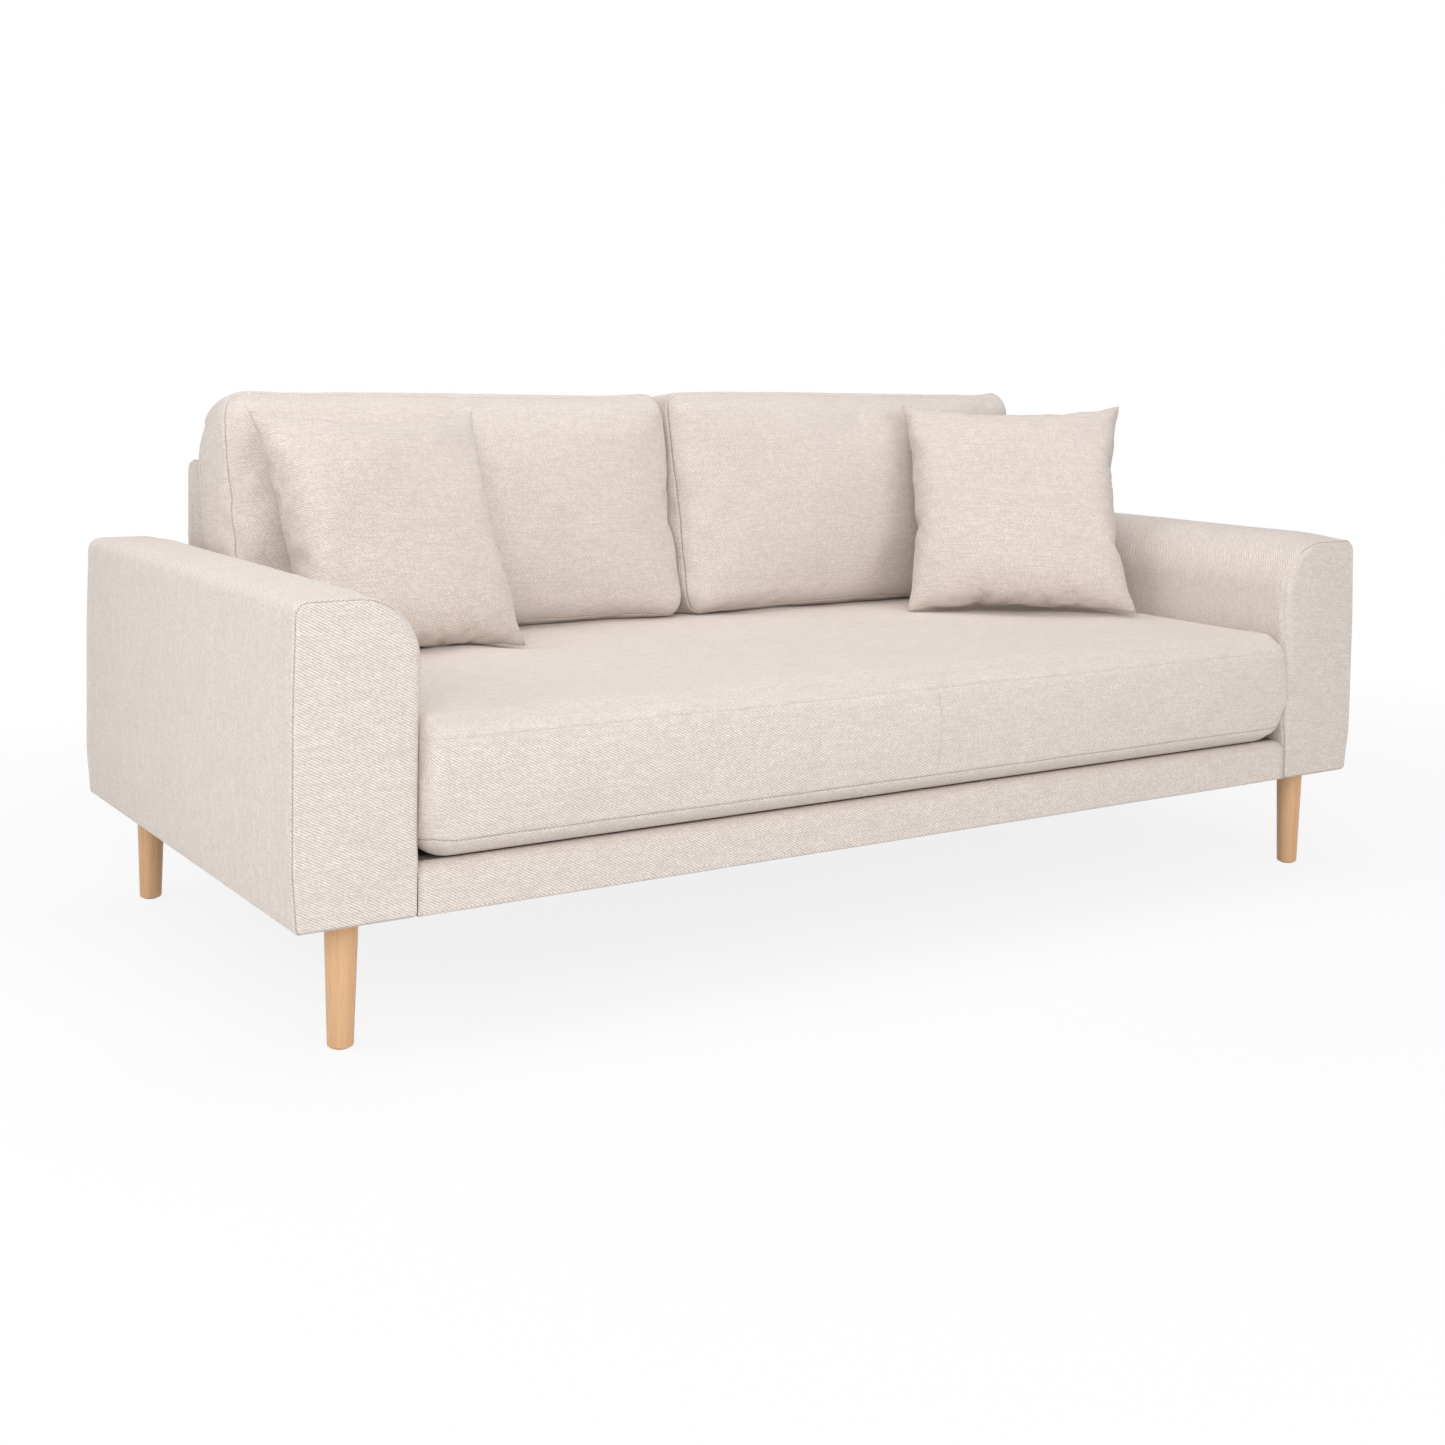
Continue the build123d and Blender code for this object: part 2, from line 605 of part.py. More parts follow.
def pillow_plane(x, out, turn, lean):
    """Plane of a pillow that stands on the tips of its two lower corners, out from the back cushions."""
    y = CUSHION_FRONT - out
    turn, lean = math.radians(turn), math.radians(lean)
    across = (math.cos(turn), math.sin(turn), 0)
    up = (-math.sin(turn) * math.sin(lean), math.cos(turn) * math.sin(lean), math.cos(lean))
    front = (math.sin(turn) * math.cos(lean), -math.cos(turn) * math.cos(lean), math.sin(lean))
    reach = PILLOW / 2 * math.sin(turn)
    rest = max(seat_top(y - reach), seat_top(y + reach)) + PILLOW_SEAM / 2 * math.sin(lean) + FIT
    centre = [at + PILLOW / 2 * part for at, part in zip((x, y, rest), up)]
    return Plane(origin=centre, x_dir=across, z_dir=front)


# Write every node
os.makedirs("parts", exist_ok=True)

for place, (x, y) in LEG_PLACES.items():
    save(f"leg_{place}", leg(x, y))
save("leg_glides", *[rod_z(GLIDE, x, y, (0, GLIDE_HEIGHT)) for x, y in LEG_PLACES.values()])
save("leg_bolts", *[leg_bolt(x, y) for x, y in LEG_PLACES.values()])
save("leg_tee_nuts", *[tee_nut(x, y) for x, y in LEG_PLACES.values()])

left_arm = {"cover": arm_cover(), "pad": arm_pad(), **arm_box()}
for piece, solid in left_arm.items():
    save(f"arm_{piece}_left", solid)
    save(f"arm_{piece}_right", mirror(solid, about=Plane.YZ))

save("front_border", front_border())
save("front_rail", front_rail())
save("rear_rail", rear_rail())
save("side_rail_left", side_rail())
save("side_rail_right", mirror(side_rail(), about=Plane.YZ))
stretcher_reach = INNER * (STRETCHERS - 1) / (STRETCHERS + 1)
save("seat_stretchers", *[stretcher(x) for x in spread(STRETCHERS, stretcher_reach)])
corners = [(side, y, turn) for side in (-1, 1) for y, turn in zip(SIDE_RAIL_Y, (1, -1))]
save("corner_blocks", *[corner_block(*corner) for corner in corners])

left_bolts = [arm_bolt(y) for y in ARM_BOLT_Y]
left_nuts = [arm_nut(y) for y in ARM_BOLT_Y]
save("arm_bolts", *left_bolts, *[mirror(bolt, about=Plane.YZ) for bolt in left_bolts])
save("arm_bolt_nuts", *left_nuts, *[mirror(nut, about=Plane.YZ) for nut in left_nuts])
save("back_bolts", *[back_bolt(x) for x in BACK_BOLT_X])
save("back_bolt_nuts", *[back_nut(x) for x in BACK_BOLT_X])

strap_reach = BETWEEN * (SEAT_STRAPS - 1) / (SEAT_STRAPS + 1)
save("seat_webbing", *[seat_strap(x) for x in spread(SEAT_STRAPS, strap_reach)])
cross_middle = sum(SIDE_RAIL_Y) / 2
cross_reach = (SIDE_RAIL_Y[1] - SIDE_RAIL_Y[0]) / 2 * (CROSS_STRAPS - 1) / (CROSS_STRAPS + 1)
save("cross_webbing", *[cross_strap(cross_middle + y) for y in spread(CROSS_STRAPS, cross_reach)])
save("deck_cloth", deck_cloth())
save("dust_cover", dust_cover())

save("back_cover", back_cover())
save("back_pad", back_pad())
for name, solid in back_rails().items():
    save(name, solid)
for number, x in enumerate(spread(POSTS, BACK_FRAME_HALF - POST / 2), 1):
    save(f"back_post_{number}", back_post(x))
back_reach = BACK_FRAME_HALF * (BACK_STRAPS - 1) / (BACK_STRAPS + 1)
save("back_webbing", *[back_strap(x) for x in spread(BACK_STRAPS, back_reach)])
save("back_liner", back_liner())

save("seat_cushion_cover", seat_form() - seat_core(SEAT_WADDING - FIT))
save("seat_cushion_core", seat_core(SEAT_WADDING))

for side, sign in (("left", -1), ("right", 1)):
    middle = sign * (INNER - CUSHION_SIDE + CUSHION_SPLIT / 2) / 2
    cover = cushion_form(middle) - cushion_core(middle, CUSHION_WADDING - FIT)
    save(f"back_cushion_cover_{side}", cover)
    save(f"back_cushion_core_{side}", cushion_core(middle, CUSHION_WADDING))

pillow_places = {
    "left": (PILLOW_LEFT_SIDE - INNER, PILLOW_LEFT_OUT, PILLOW_LEFT_TURN, PILLOW_LEFT_LEAN),
    "right": (INNER - PILLOW_RIGHT_SIDE, PILLOW_RIGHT_OUT, PILLOW_RIGHT_TURN, PILLOW_RIGHT_LEAN),
}
for side, place in pillow_places.items():
    plane = pillow_plane(*place)
    save(f"pillow_cover_{side}", plane * (pillow_form() - pillow_filling(FIT)))
    save(f"pillow_filling_{side}", plane * pillow_filling(0))
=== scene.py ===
import json
import math

import bpy
import numpy as np
from mathutils import Matrix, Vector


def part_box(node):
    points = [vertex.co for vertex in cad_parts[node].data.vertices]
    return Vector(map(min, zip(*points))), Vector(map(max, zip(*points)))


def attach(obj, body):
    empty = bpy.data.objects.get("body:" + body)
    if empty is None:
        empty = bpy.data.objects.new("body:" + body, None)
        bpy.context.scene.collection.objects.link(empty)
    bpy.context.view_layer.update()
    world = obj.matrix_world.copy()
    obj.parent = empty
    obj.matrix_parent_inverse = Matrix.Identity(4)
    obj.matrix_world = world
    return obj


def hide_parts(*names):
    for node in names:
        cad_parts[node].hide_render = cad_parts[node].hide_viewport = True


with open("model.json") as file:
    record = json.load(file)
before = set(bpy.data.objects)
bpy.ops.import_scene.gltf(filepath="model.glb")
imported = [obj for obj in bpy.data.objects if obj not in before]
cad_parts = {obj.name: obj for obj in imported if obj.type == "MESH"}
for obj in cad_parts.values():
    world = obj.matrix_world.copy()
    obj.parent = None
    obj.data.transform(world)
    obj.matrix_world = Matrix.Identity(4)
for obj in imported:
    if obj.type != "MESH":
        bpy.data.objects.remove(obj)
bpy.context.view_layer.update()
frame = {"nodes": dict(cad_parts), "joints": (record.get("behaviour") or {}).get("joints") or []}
nodes = frame["nodes"]


# Legs
# Four round legs of oiled beech, turned to a straight taper, with the grain running down them. Each
# is screwed up into the base board of an arm, and a moulded glide is pressed in under its foot.

class Field:
    """A shader socket that Python's operators work on: each operator adds a Math node."""

    def __init__(self, tree, socket=None):
        self.tree = tree
        self.socket = socket

    def node(self, kind, settings, inputs, output=0):
        """Any node: its settings are set first, then its sockets get their values or links."""
        made = self.tree.nodes.new("ShaderNode" + kind)
        for name, value in settings.items():
            setattr(made, name, value)
        for name, value in inputs.items():
            if isinstance(value, Field):
                self.tree.links.new(value.socket, made.inputs[name])
            else:
                made.inputs[name].default_value = value
        return Field(self.tree, made.outputs[output])

    def math(self, operation, *values):
        return self.node("Math", {"operation": operation}, dict(enumerate(values)))

    def __add__(self, other):
        return self.math("ADD", self, other)

    def __sub__(self, other):
        return self.math("SUBTRACT", self, other)

    def __rsub__(self, other):
        return self.math("SUBTRACT", other, self)

    def __mul__(self, other):
        return self.math("MULTIPLY", self, other)

    def __truediv__(self, other):
        return self.math("DIVIDE", self, other)

    __radd__ = __add__
    __rmul__ = __mul__

    def wave(self):
        """1 at whole numbers, and 0 halfway between them."""
        return self.math("COSINE", self * math.tau) * 0.5 + 0.5

    def clamped(self, low, high):
        """0 below the first value and 1 above the second."""
        return self.node("MapRange", {}, {"Value": self, "From Min": low, "From Max": high})

    def stretched(self, scale):
        """A place with each of its axes scaled."""
        return self.node("VectorMath", {"operation": "MULTIPLY"}, {0: self, 1: scale})

    def noise(self, scale, detail=2.0):
        """Noise at a place, from 0 to 1."""
        return self.node("TexNoise", {}, {"Vector": self, "Scale": scale, "Detail": detail})

    def mixed(self, first, second):
        """A colour between two others, each of which is a field or has three parts."""
        ends = [end if isinstance(end, Field) else (*end, 1.0) for end in (first, second)]
        return self.node("Mix", {"data_type": "RGBA"}, {0: self, 6: ends[0], 7: ends[1]}, output=2)

    def bump(self, distance, strength):
        return self.node("Bump", {}, {"Height": self, "Distance": distance, "Strength": strength})

    def feed(self, socket):
        self.tree.links.new(self.socket, socket)


def new_finish(name):
    """A new material, the sockets of its shader, and the place on the surface in metres."""
    material = bpy.data.materials.new(name)
    material.use_nodes = True
    sockets = material.node_tree.nodes["Principled BSDF"].inputs
    place = Field(material.node_tree).node("TexCoord", {}, {}, output="Object")
    return material, sockets, place


def paint(sockets, colour, roughness, normal=None):
    """Feed a shader its colour, its roughness and, where it has one, its bump."""
    colour.feed(sockets["Base Color"])
    roughness.feed(sockets["Roughness"])
    if normal is not None:
        normal.feed(sockets["Normal"])


def dress(material, *names):
    """Give CAD nodes a finish."""
    for name in names:
        nodes[name].data.materials.clear()
        nodes[name].data.materials.append(material)


def wood(name, pale, dark, grain, roughness):
    """Wood whose grain is drawn out along the axis with the smallest number."""
    material, sockets, place = new_finish(name)
    drawn = place.stretched(grain)
    bands = drawn.noise(1.0, detail=3.0)
    pores = drawn.noise(6.0, detail=2.0)
    flecks = drawn.noise(5.4, detail=1.0).clamped(0.62, 0.7)
    shade = bands.clamped(0.3, 0.72) * 0.8 + pores * 0.2
    deep = [0.62 * part for part in dark]
    colour = (flecks * 0.35).mixed(shade.mixed(pale, dark), deep)
    paint(sockets, colour, pores * 0.16 + roughness, (pores - flecks * 0.6).bump(0.0004, 0.35))
    return material


beech = wood("beech", (0.77, 0.475, 0.265), (0.64, 0.37, 0.185), (95.0, 95.0, 3.5), 0.36)
dress(beech, *[f"leg_{end}_{side}" for end in ("front", "rear") for side in ("left", "right")])

glide_plastic, sockets, place = new_finish("glide_plastic")
scuffs = place.noise(900.0, detail=3.0)
paint(sockets, scuffs.mixed((0.035, 0.03, 0.027), (0.08, 0.072, 0.065)), scuffs * 0.25 + 0.4)
dress(glide_plastic, "leg_glides")


# Bolts and nuts
# Hanger bolts and tee nuts hold the legs, and longer bolts with hexagon nuts hold the arms and the
# back to the seat frame. All are steel with a thin, slightly clouded zinc plating.

zinc, sockets, place = new_finish("zinc_plating")
cloud = place.noise(240.0, detail=4.0)
paint(sockets, cloud.mixed((0.52, 0.53, 0.54), (0.74, 0.75, 0.76)), cloud * 0.25 + 0.22)
sockets["Metallic"].default_value = 1.0
dress(zinc, "leg_bolts", "leg_tee_nuts", "arm_bolts", "arm_bolt_nuts", "back_bolts", "back_bolt_nuts")


# Timber of the seat and back frames
# Sawn softwood rails, stretchers, posts and glued corner blocks, screwed and glued to each other. The
# grain runs along each piece.

SOFTWOOD_PALE = (0.72, 0.56, 0.36)
SOFTWOOD_DARK = (0.58, 0.40, 0.22)
ALONG, ACROSS = 4.0, 60.0   # how close the grain's lines lie along and across a piece
timber = {
    (ALONG, ACROSS, ACROSS): ("front_rail", "rear_rail", "corner_blocks", "back_foot_rail", "back_rear_rail",
                              "back_top_rail"),
    (ACROSS, ALONG, ACROSS): ("side_rail_left", "side_rail_right", "seat_stretchers"),
    (ACROSS, ACROSS, ALONG): ("back_post_1", "back_post_2", "back_post_3", "back_post_4"),
}
for grain, names in timber.items():
    dress(wood("sawn_softwood", SOFTWOOD_PALE, SOFTWOOD_DARK, grain, 0.62), *names)


# Boards of the arms and the back
# Each arm is a box of raw particle board, with the legs' nuts in its base. A thin stiff cardboard
# liner closes the back frame behind. Both are stapled and then covered.

particle_board, sockets, place = new_finish("particle_board")
chips = place.stretched((160.0, 160.0, 60.0)).noise(1.0, detail=3.0).clamped(0.3, 0.7)
dust = place.noise(700.0, detail=2.0)
colour = (chips * 0.7 + dust * 0.3).mixed((0.46, 0.31, 0.18), (0.72, 0.54, 0.35))
paint(sockets, colour, dust * 0.2 + 0.65)
BOARDS = ("base_board", "top_board", "outer_panel", "inner_panel", "front_board", "rear_board")
dress(particle_board, *[f"arm_{board}_{side}" for board in BOARDS for side in ("left", "right")])

cardboard, sockets, place = new_finish("cardboard")
fibre = place.stretched((60.0, 60.0, 220.0)).noise(1.0, detail=4.0)
paint(sockets, fibre.mixed((0.30, 0.21, 0.13), (0.44, 0.33, 0.22)), fibre * 0.2 + 0.7)
dress(cardboard, "back_liner")


# Webbing
# Straps of woven elastic, stretched over the seat frame in both directions and up the back frame, and
# stapled at their ends. They carry the seat and show only inside the frame.

elastic, sockets, place = new_finish("elastic_webbing")
cords = place.noise(330.0, detail=2.0)
colour = cords.mixed((0.02, 0.018, 0.016), (0.09, 0.08, 0.07))
paint(sockets, colour, cords * 0.2 + 0.7, cords.bump(0.0006, 0.6))
dress(elastic, "seat_webbing", "cross_webbing", "back_webbing")


# Deck cloth and dust cover
# Two sheets of dark non-woven cloth. The deck cloth is stretched over the webbing under the loose seat
# cushion, and the dust cover is stapled under the seat frame, where it sags a little.

def spaced(start, end, step):
    """Even places from one end to the other, about a step apart."""
    return np.linspace(start, end, max(2, round((end - start) / step) + 1))


def box_grid(a, b, c):
    """Points and quads over the six sides of a box, from the places of its grid lines on each axis.

    Also returns the number of each point by its three lines, and the axis and end of each quad's side.
    """
    shell = np.zeros((len(a), len(b), len(c)), bool)
    for axis in range(3):
        np.moveaxis(shell, axis, 0)[[0, -1]] = True
    rank = np.full(shell.shape, -1)
    rank[shell] = np.arange(shell.sum())
    i, j, k = np.nonzero(shell)
    points = np.stack([a[i], b[j], c[k]], axis=1)
    quads, sides = [], []
    for axis in range(3):
        for end in (0, -1):
            side = np.take(rank, end, axis=axis)
            quad = np.stack([side[:-1, :-1], side[1:, :-1], side[1:, 1:], side[:-1, 1:]], axis=-1)
            quad = quad.reshape(-1, 4)
            quads.append(quad[:, ::-1] if (end == 0) == (axis != 1) else quad)
            sides += [(axis, end)] * len(quad)
    return points, np.concatenate(quads), rank, np.array(sides)


def linked(name, data):
    """A new object in the scene."""
    made = bpy.data.objects.new(name, data)
    bpy.context.scene.collection.objects.link(made)
    return made


def add_piece(name, points, faces, material, weave=None):
    """A new smooth piece. Weave holds, for each corner of each face, its place on the cloth in metres
    and how near it lies to a seam."""
    mesh = bpy.data.meshes.new(name)
    mesh.from_pydata(points.tolist(), [], faces)
    mesh.polygons.foreach_set("use_smooth", [True] * len(mesh.polygons))
    mesh.materials.append(material)
    if weave is not None:
        layer = mesh.attributes.new("weave", "FLOAT_VECTOR", "CORNER")
        layer.data.foreach_set("vector", np.asarray(weave, np.float32).ravel())
    return linked(name, mesh)


lining, sockets, place = new_finish("lining_cloth")
felt = place.noise(420.0, detail=4.0)
bonds = place.stretched((400.0, 400.0, 0.0)).noise(1.0, detail=0.0).clamped(0.55, 0.65)
colour = felt.mixed((0.10, 0.084, 0.073), (0.18, 0.153, 0.134))
paint(sockets, colour, felt * 0.2 + 0.75, (felt - bonds * 0.5).bump(0.0005, 0.5))

LINING_STEP = 0.03        # between the grid lines of a sheet
for name, sag, under in (("deck_cloth", 0.0, ["seat_webbing", "cross_webbing"]),
                         ("dust_cover", 0.004, ["front_rail", "rear_rail"])):
    low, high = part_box(name)
    lines = spaced(low.x, high.x, LINING_STEP), spaced(low.y, high.y, LINING_STEP), np.array([low.z, high.z])
    points, quads, rank, sides = box_grid(*lines)
    across = 1 - (points[:, 0] / high.x) ** 2
    along = 1 - ((points[:, 1] - (low.y + high.y) / 2) / ((high.y - low.y) / 2)) ** 2
    points[:, 2] -= sag * np.sqrt(np.clip(across * along, 0, 1))
    cloth = add_piece(f"{name}_sheet", points, quads.tolist(), lining)
    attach(cloth, "frame")
    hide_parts(name)


# Arms
# Foam round the arm box under a tight sewn cover: one panel over the front, one over the back, and a
# wrap from the outside over the top to the inside. The panels meet in seams on the rounded edges.

RIB_PITCH = 0.00354       # between two ribs of the twill
RIB_SLANT = 29.6          # degrees that the ribs fall to the right
YARN_FLOAT = 0.0040       # length of a yarn on top of a rib


def twill(name, pale, dark, grey, ribbed):
    """Woven sand melange: slanting ribs of pale yarn, darker yarn between and thick places in it; seams
    darkened by needle holes and painted shade.
    """
    material, sockets, place = new_finish(name)
    cloth = place.node("Attribute", {"attribute_name": "weave"}, {}, output="Vector")
    along, up, seam = (cloth.node("SeparateXYZ", {}, {0: cloth}, output=axis) for axis in "XYZ")
    cloth = cloth.stretched((1.0, 1.0, 0.0))
    slant = math.radians(RIB_SLANT)
    uneven = cloth.noise(55.0, detail=2.0) - 0.5
    rib = (along * math.sin(slant) + up * math.cos(slant)) / RIB_PITCH + uneven * 0.65
    number = rib.math("FLOOR", rib)
    step = (along * math.cos(slant) - up * math.sin(slant)) / YARN_FLOAT + number * 0.37
    ridge = rib.wave()
    crossing = step.wave()
    cell = cloth.node("CombineXYZ", {}, {0: number, 1: step.math("FLOOR", step)})
    yarn = cell.node("TexWhiteNoise", {"noise_dimensions": "2D"}, {"Vector": cell})
    slub = cloth.stretched((16.0, 300.0, 1.0)).noise(1.0, detail=2.0).clamped(0.47, 0.72)
    fleck = cloth.stretched((38.0, 460.0, 1.0)).noise(1.0, detail=1.0).clamped(0.38, 0.68)
    band = cloth.stretched((6.0, 42.0, 1.0)).noise(1.0, detail=3.0).clamped(0.35, 0.75)
    tone = (ridge * ribbed + crossing * 0.06 + yarn * 0.26 + 0.40 - 0.5 * ribbed).clamped(0.05, 0.95)
    colour = (slub * 0.42 + fleck * 0.38 + band * 0.18).mixed(tone.mixed(dark, pale), grey)
    # Painted shade: the cloth is darkened along each seam, partly for its needle holes and thread and partly
    # as the shade in the fold that the seam draws in.
    seam_holes_and_shade = [0.42 * part for part in dark]
    colour = (seam * 0.4).mixed(colour, seam_holes_and_shade)
    rough = yarn * 0.1 + 0.84
    paint(sockets, colour, rough, (ridge * 0.7 + crossing * ridge * 0.35 + yarn * 0.2).bump(0.0011, 0.55))
    sockets["Specular IOR Level"].default_value = 0.22
    sockets["Sheen Weight"].default_value = 0.25
    sockets["Sheen Roughness"].default_value = 0.5
    return material


sand_twill = twill("sand_twill", (0.97, 0.895, 0.838), (0.53, 0.440, 0.380), (0.65, 0.577, 0.530), 0.75)

thread, sockets, place = new_finish("seam_thread")
twist = place.noise(1800.0, detail=1.0)
twist.mixed((0.22, 0.165, 0.13), (0.40, 0.32, 0.265)).feed(sockets["Base Color"])
sockets["Roughness"].default_value = 0.7

STITCH_PITCH = 0.0050     # from one stitch to the next
STITCH_LENGTH = 0.0027
STITCH_RADIUS = 0.0005
STITCH_RISE = 0.6         # share of its radius by which the middle of a stitch stands above its seam
STITCH_AHEAD = 0.001      # how far ahead and behind the run of a seam is taken


def add_stitches(name, lines, body):
    """Thread stitches along seams. Each line is a run of points in the seam, with their normals."""
    turns = np.linspace(0, math.tau, 4, endpoint=False)
    form = []
    for along, wide in ((-0.5, 0.4), (0.0, 1.0), (0.5, 0.4)):
        for turn in turns:
            radius = STITCH_RADIUS * wide
            form.append((STITCH_LENGTH * along, radius * math.cos(turn), radius * math.sin(turn)))
    form = np.array(form)
    ring = np.arange(len(form)).reshape(-1, len(turns))
    beside = np.roll(ring, -1, axis=1)
    quads = np.stack([ring[:-1], beside[:-1], beside[1:], ring[1:]], axis=-1).reshape(-1, 4)
    ends = [ring[0, ::-1].tolist(), ring[-1].tolist()]
    points, faces = [], []
    for line, normals in lines:
        run = np.concatenate([[0], np.cumsum(np.linalg.norm(np.diff(line, axis=0), axis=1))])

        def sample(table, at):
            return np.stack([np.interp(at, run, column) for column in table.T], axis=1)

        at = np.arange(STITCH_PITCH / 2, run[-1], STITCH_PITCH)
        along = sample(line, at + STITCH_AHEAD) - sample(line, at - STITCH_AHEAD)
        along /= np.linalg.norm(along, axis=1, keepdims=True)
        for middle, x, z in zip(sample(line, at), along, sample(normals, at)):
            first = len(form) * len(points)
            points.append(middle + form @ np.stack([x, np.cross(z, x), z]))
            faces += (quads + first).tolist() + [[first + corner for corner in end] for end in ends]
    piece = add_piece(name, np.concatenate(points), faces, thread)
    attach(piece, body)
    return piece


SEAM_DEPTH = 0.0022       # how far a seam draws the cloth in
SEAM_WIDTH = 0.0022       # and how far beside it
SEAM_SWELL, SEAM_SPREAD = 0.22, 14   # height of the swell beside a seam, and how far it spreads
# The dark of a seam is its needle holes and the painted shade in its fold.
SEAM_SHADE = 0.0015       # how far the dark of a seam reaches


def groove(distance):
    """How far a seam draws the cloth in at a distance from it, with a slight swell beside it."""
    near = (distance / SEAM_WIDTH) ** 2
    return SEAM_DEPTH * (np.exp(-near) - SEAM_SWELL * np.exp(-near / SEAM_SPREAD))


def seam_shade(distance):
    """How near a place is to a seam: 1 in it, and 0 away from it."""
    return np.exp(-(distance / SEAM_SHADE) ** 2)


def ramp(values, start, end):
    """0 up to the start and 1 from the end on, with a straight slope between."""
    return np.clip((values - start) / (end - start), 0, 1)


def eased(values, start, end):
    """0 at the start and 1 at the end, easing in and out."""
    share = ramp(values, start, end)
    return share * share * (3 - 2 * share)


WAVES = 7                 # that are laid over each other
WAVES_TOGETHER = 2.6      # how much higher they commonly are where they meet


def waviness(points, size, height, seed):
    """Slight unevenness of padding, in metres, as a few long waves."""
    chance = np.random.default_rng(seed)
    total = np.zeros(len(points))
    for _ in range(WAVES):
        heading = chance.normal(size=3)
        heading *= chance.uniform(0.6, 1.4) * math.tau / size / np.linalg.norm(heading)
        total += np.sin(points @ heading + chance.uniform(0, math.tau))
    return height * total / WAVES_TOGETHER


def rounded_outline(corners, radii, step):
    """Points round an outline, anticlockwise, and the directions that face out of it there."""
    corners = np.array(corners, float)
    arcs = []
    for number, (corner, radius) in enumerate(zip(corners, radii)):
        before = corner - corners[number - 1]
        after = corners[(number + 1) % len(corners)] - corner
        heading = math.atan2(before[1], before[0])
        turn = (math.atan2(after[1], after[0]) - heading + math.pi) % math.tau - math.pi
        ahead = np.array([math.cos(heading), math.sin(heading)])
        centre = corner - radius * math.tan(turn / 2) * ahead + radius * np.array([-ahead[1], ahead[0]])
        angles = np.array([heading + turn / 2])
        if radius:
            angles = np.linspace(heading, heading + turn, max(5, math.ceil(2 * radius * turn / step)))
        out = np.column_stack([np.sin(angles), -np.cos(angles)])
        arcs.append((centre + radius * out, out))
    points, facing = [], []
    for (arc, out), (coming, _) in zip(arcs, arcs[1:] + arcs[:1]):
        gap = coming[0] - arc[-1]
        shares = spaced(0, 1, step / np.linalg.norm(gap))[1:-1, None]
        straight = np.array([gap[1], -gap[0]]) / np.linalg.norm(gap)
        points += [arc, arc[-1] + shares * gap]
        facing += [out, np.repeat(straight[None], len(shares), axis=0)]
    return np.concatenate(points), np.concatenate(facing)


PANEL_SHARES = (0.35, 0.6, 0.8, 0.93)   # sizes of a panel's rings, up to its edge
WRAP_STEP = 0.03          # between the rings of a wrap
BESIDE_SEAM = (0.0012, 0.0024, 0.0038, 0.006)   # where more rings lie beside a seam
BEYOND_EDGE = (0.014, 0.03)   # and past the edge
EDGE_SEAM = 0.62          # share of the way round an edge at which its seam lies
SOFT_EDGE = 2.6           # how many times rounder an edge is where its cover is soft
SOFT_SEAM = 0.7           # share of the seam that is lost there


def both_ways(steps):
    """Steps away from a place on both sides of it, and none."""
    return np.array([*(-step for step in steps[::-1]), 0.0, *steps])


def end_profile(edge):
    """Rings round the edge of an end panel: how far each lies in from the outline, its depth, how far the
    seam draws it in, how near it is to the seam, and how far its normals have turned from the panel's."""
    arc = edge * math.pi / 2
    seam = EDGE_SEAM * arc
    places = [0, arc, *(arc + step for step in BEYOND_EDGE), *(seam + both_ways(BESIDE_SEAM))]
    places = np.unique(np.round(places, 5))
    rings = []
    for place in places[places >= 0]:
        turn = min(place / edge, math.pi / 2)
        inset = edge * (1 - math.sin(turn))
        depth = edge * (1 - math.cos(turn)) + max(0, place - arc)
        rings.append((inset, depth, groove(place - seam), seam_shade(place - seam), turn))
    return rings


def upholster(piece, body, covered):
    """Tie a padded piece to the body that it rides on, and hide the CAD nodes that it covers."""
    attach(piece, body)
    for node in covered:
        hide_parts(node)


def tight_cover(outline, facing, ends, edges, spine, crown, soft=0.0):
    """Rings of a tight cover with a panel at each end. Where it is soft, from 0 to 1, the edge of the first
    panel is rounder and its seam hardly shows.

    Returns the rings' points, as two places on the outline's plane and one along; how near each point is
    to a seam; the numbers of the two seam rings; and how far each seam ring's normals have turned.
    """
    low, high = (np.array(point) for point in spine)
    share = ramp((outline - low) @ (high - low), 0, (high - low) @ (high - low))
    middle = low + share[:, None] * (high - low)
    level = np.zeros(len(outline))
    halves = []
    for end, edge, inward, give in zip(ends, edges, (1, -1), (level + soft, level)):
        wider, shown = 1 + (SOFT_EDGE - 1) * give, 1 - SOFT_SEAM * give
        half = []
        for size in PANEL_SHARES:
            panel = middle + (outline - (edge * wider)[:, None] * facing - middle) * size
            half.append((panel, level + end - inward * crown * (1 - size ** 2), level, 0.0))
        for inset, depth, drawn, near, turn in end_profile(edge):
            inset = inset * wider + drawn * shown * math.sin(turn)
            along = end + inward * (depth * wider + drawn * shown * math.cos(turn))
            half.append((outline - inset[:, None] * facing, along, near * shown, turn))
        halves.append(half)
    first, last = halves[0][-1][1], halves[1][-1][1]
    shares = spaced(0, 1, WRAP_STEP / (ends[1] - ends[0]))[1:-1]
    wrap = [(outline, first + share * (last - first), level, math.pi / 2) for share in shares]
    rings = halves[0] + wrap + halves[1][::-1]
    points = np.array([np.column_stack([plane, along]) for plane, along, near, turn in rings])
    near = np.array([ring[2] for ring in rings])
    nearest = near.max(axis=1)
    seams = (nearest[:len(halves[0])].argmax(), len(rings) - 1 - nearest[::-1][:len(halves[1])].argmax())
    return points, near, seams, [rings[seam][3] for seam in seams]


